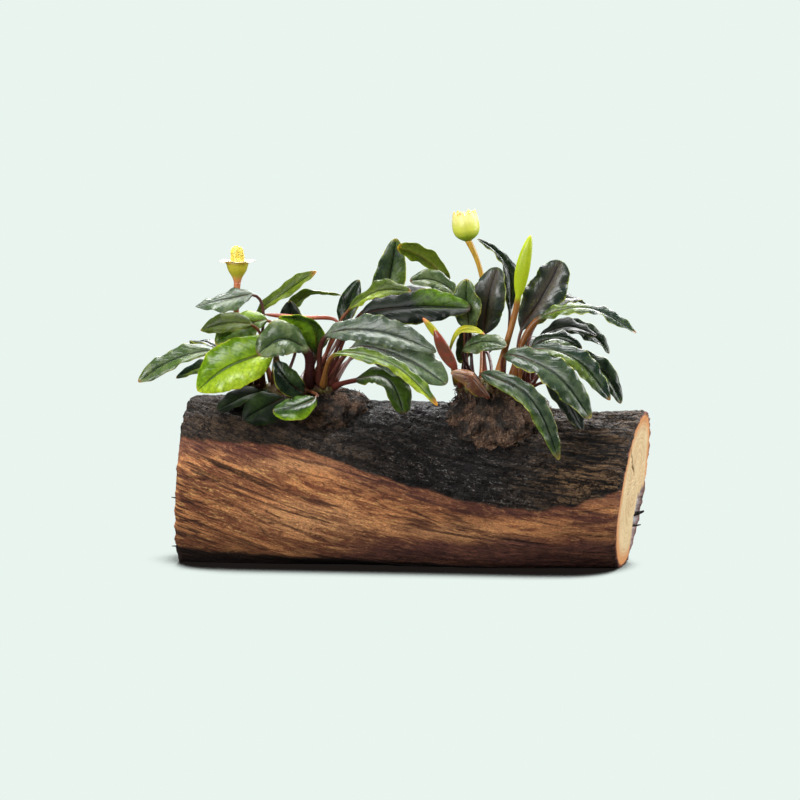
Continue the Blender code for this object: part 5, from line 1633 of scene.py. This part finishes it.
def stalkMaterial(name, low, high):
    material, tree, shader = newMaterial(name)
    place = objectPlace(tree)
    along = marked(tree, "along")
    streak = cloud(tree, stretched(tree, place, 1.0, 1.0, 0.12), 1500.0, 3.0)
    colour = blendColour(tree, rise(tree, along, 0.15, 0.95), low, high)
    colour = blendColour(tree, rise(tree, streak, 0.45, 0.7, 0.0, 0.35), colour, (0.16, 0.03, 0.015))
    feedAll(tree, shader, {"Base Color": colour, "Roughness": 0.38})
    addGlow(shader, 0.35, (1.0, 0.5, 0.2), 1.0)
    addBump(tree, shader, streak, 0.15, 0.6)
    return material


def buildStalk(name, rhizome, facts, foot, material):
    foot = seenPoint(*foot) + np.array((0.0, 0.0, 0.35))
    middles = [seenPoint(*point) for point in facts["points"]]
    root, rootWay = rhizomeExit(rhizome, facts["at"], facts["around"], middles[0])
    path, _ = smoothPath([root, *middles, foot], rootWay, tubeSteps)
    shares = np.linspace(0.0, 1.0, len(path))
    swell = 0.22 * np.exp(-((shares / 0.06) ** 2)) + facts["flare"] * np.exp(-(((1 - shares) / 0.10) ** 2))
    points, faces = tubeShell(path, facts["radius"] * (0.92 + swell), tubeSides)
    marks = {"along": np.repeat(shares, tubeSides)}
    piece = meshPiece(pieceNameOf(name), points, faces, [material], marks)
    dress(piece, "flower_stalk", name)


def beadTree(material):
    # Even small beads all over the mesh, on top of the mesh itself.
    tree, given, result = newShapeTree("beadsOnSpadix", ("Density", "Gap", "Radius", "Seed"))
    facts = {"Mesh": given["Geometry"], "Distance Min": given["Gap"], "Density Max": given["Density"],
             "Seed": given["Seed"]}
    spots = addNode(tree, "GeometryNodeDistributePointsOnFaces", facts, distribute_method="POISSON")
    bead = addNode(tree, "GeometryNodeMeshIcoSphere", {"Radius": given["Radius"], "Subdivisions": 2})
    sizes = addNode(tree, "FunctionNodeRandomValue", {"Seed": given["Seed"]}, data_type="FLOAT")
    sizes.inputs[2].default_value = 0.75
    sizes.inputs[3].default_value = 1.15
    facts = {"Points": spots.outputs["Points"], "Instance": bead.outputs["Mesh"], "Scale": sizes.outputs[1]}
    placed = addNode(tree, "GeometryNodeInstanceOnPoints", facts)
    real = addNode(tree, "GeometryNodeRealizeInstances", {"Geometry": placed.outputs[0]})
    smooth = addNode(tree, "GeometryNodeSetShadeSmooth", {"Geometry": real.outputs[0]})
    endShapeTree(tree, given, result, smooth.outputs[0], material)
    return tree


def spadixMaterial():
    material, tree, shader = newMaterial("spadixGrains")
    place = objectPlace(tree)
    grains = cloud(tree, place, 900.0, 2.0)
    colour = blendColour(tree, rise(tree, grains, 0.4, 0.62), (0.78, 0.56, 0.060), (0.86, 0.72, 0.18))
    feedAll(tree, shader, {"Base Color": colour, "Roughness": 0.5})
    addGlow(shader, 0.4, (1.0, 0.7, 0.2), 1.0)
    addBump(tree, shader, grains, 0.1, 0.6)
    return material


def buildFlowers():
    pink = stalkMaterial("pinkStalk", (0.30, 0.055, 0.025), (0.60, 0.21, 0.100))
    amber = stalkMaterial("amberStalk", (0.34, 0.12, 0.02), (0.50, 0.30, 0.022))
    buildStalk("flower_stalk_left", "rhizome_left", openFlower["stalk"], openFlower["foot"], pink)
    buildStalk("flower_stalk_right", "rhizome_right", closedFlower["stalk"], closedFlower["foot"], amber)
    cream = petalMaterial("creamSpathe", (0.9, (0.60, 0.21, 0.090)), (3.6, (0.47, 0.43, 0.030)), 6.2,
                          (7.4, (0.78, 0.60, 0.43)), (0.35, (0.70, 0.38, 0.28)), 0.4)
    points, faces, marks = turnedShell(openFlower["cup"], openFlower["foot"], 0.0, cupWobble)
    dress(meshPiece("openSpathe", points, faces, [cream], marks), "spathe", "spathe")
    yellow = spadixMaterial()
    points, faces, marks = turnedShell(openFlower["spadix"], openFlower["foot"], 0.0, spadixWobble, 30, 40)
    spadix = meshPiece("beadedSpadix", points, faces, [yellow], marks)
    beads = openFlower["beads"]
    values = {"Density": beads["perSquareMetre"], "Gap": beads["gap"] * mm, "Radius": beads["radius"] * mm,
              "Seed": beads["seed"]}
    dress(runShapeTree(spadix, beadTree(yellow), values), "spadix", "spadix")
    lemon = petalMaterial("lemonBud", (1.4, (0.29, 0.41, 0.012)), (4.4, (0.65, 0.67, 0.085)), 4.4,
                          (8.0, (0.80, 0.76, 0.27)), (0.9, (0.62, 0.28, 0.03)), 0.4)
    points, faces, marks = turnedShell(closedFlower["bud"], closedFlower["foot"], closedFlower["lean"],
                                       budWobble)
    dress(meshPiece("flowerBud", points, faces, [lemon], marks), "flower_bud", "flower_bud")


buildFlowers()
print("flowers are built")
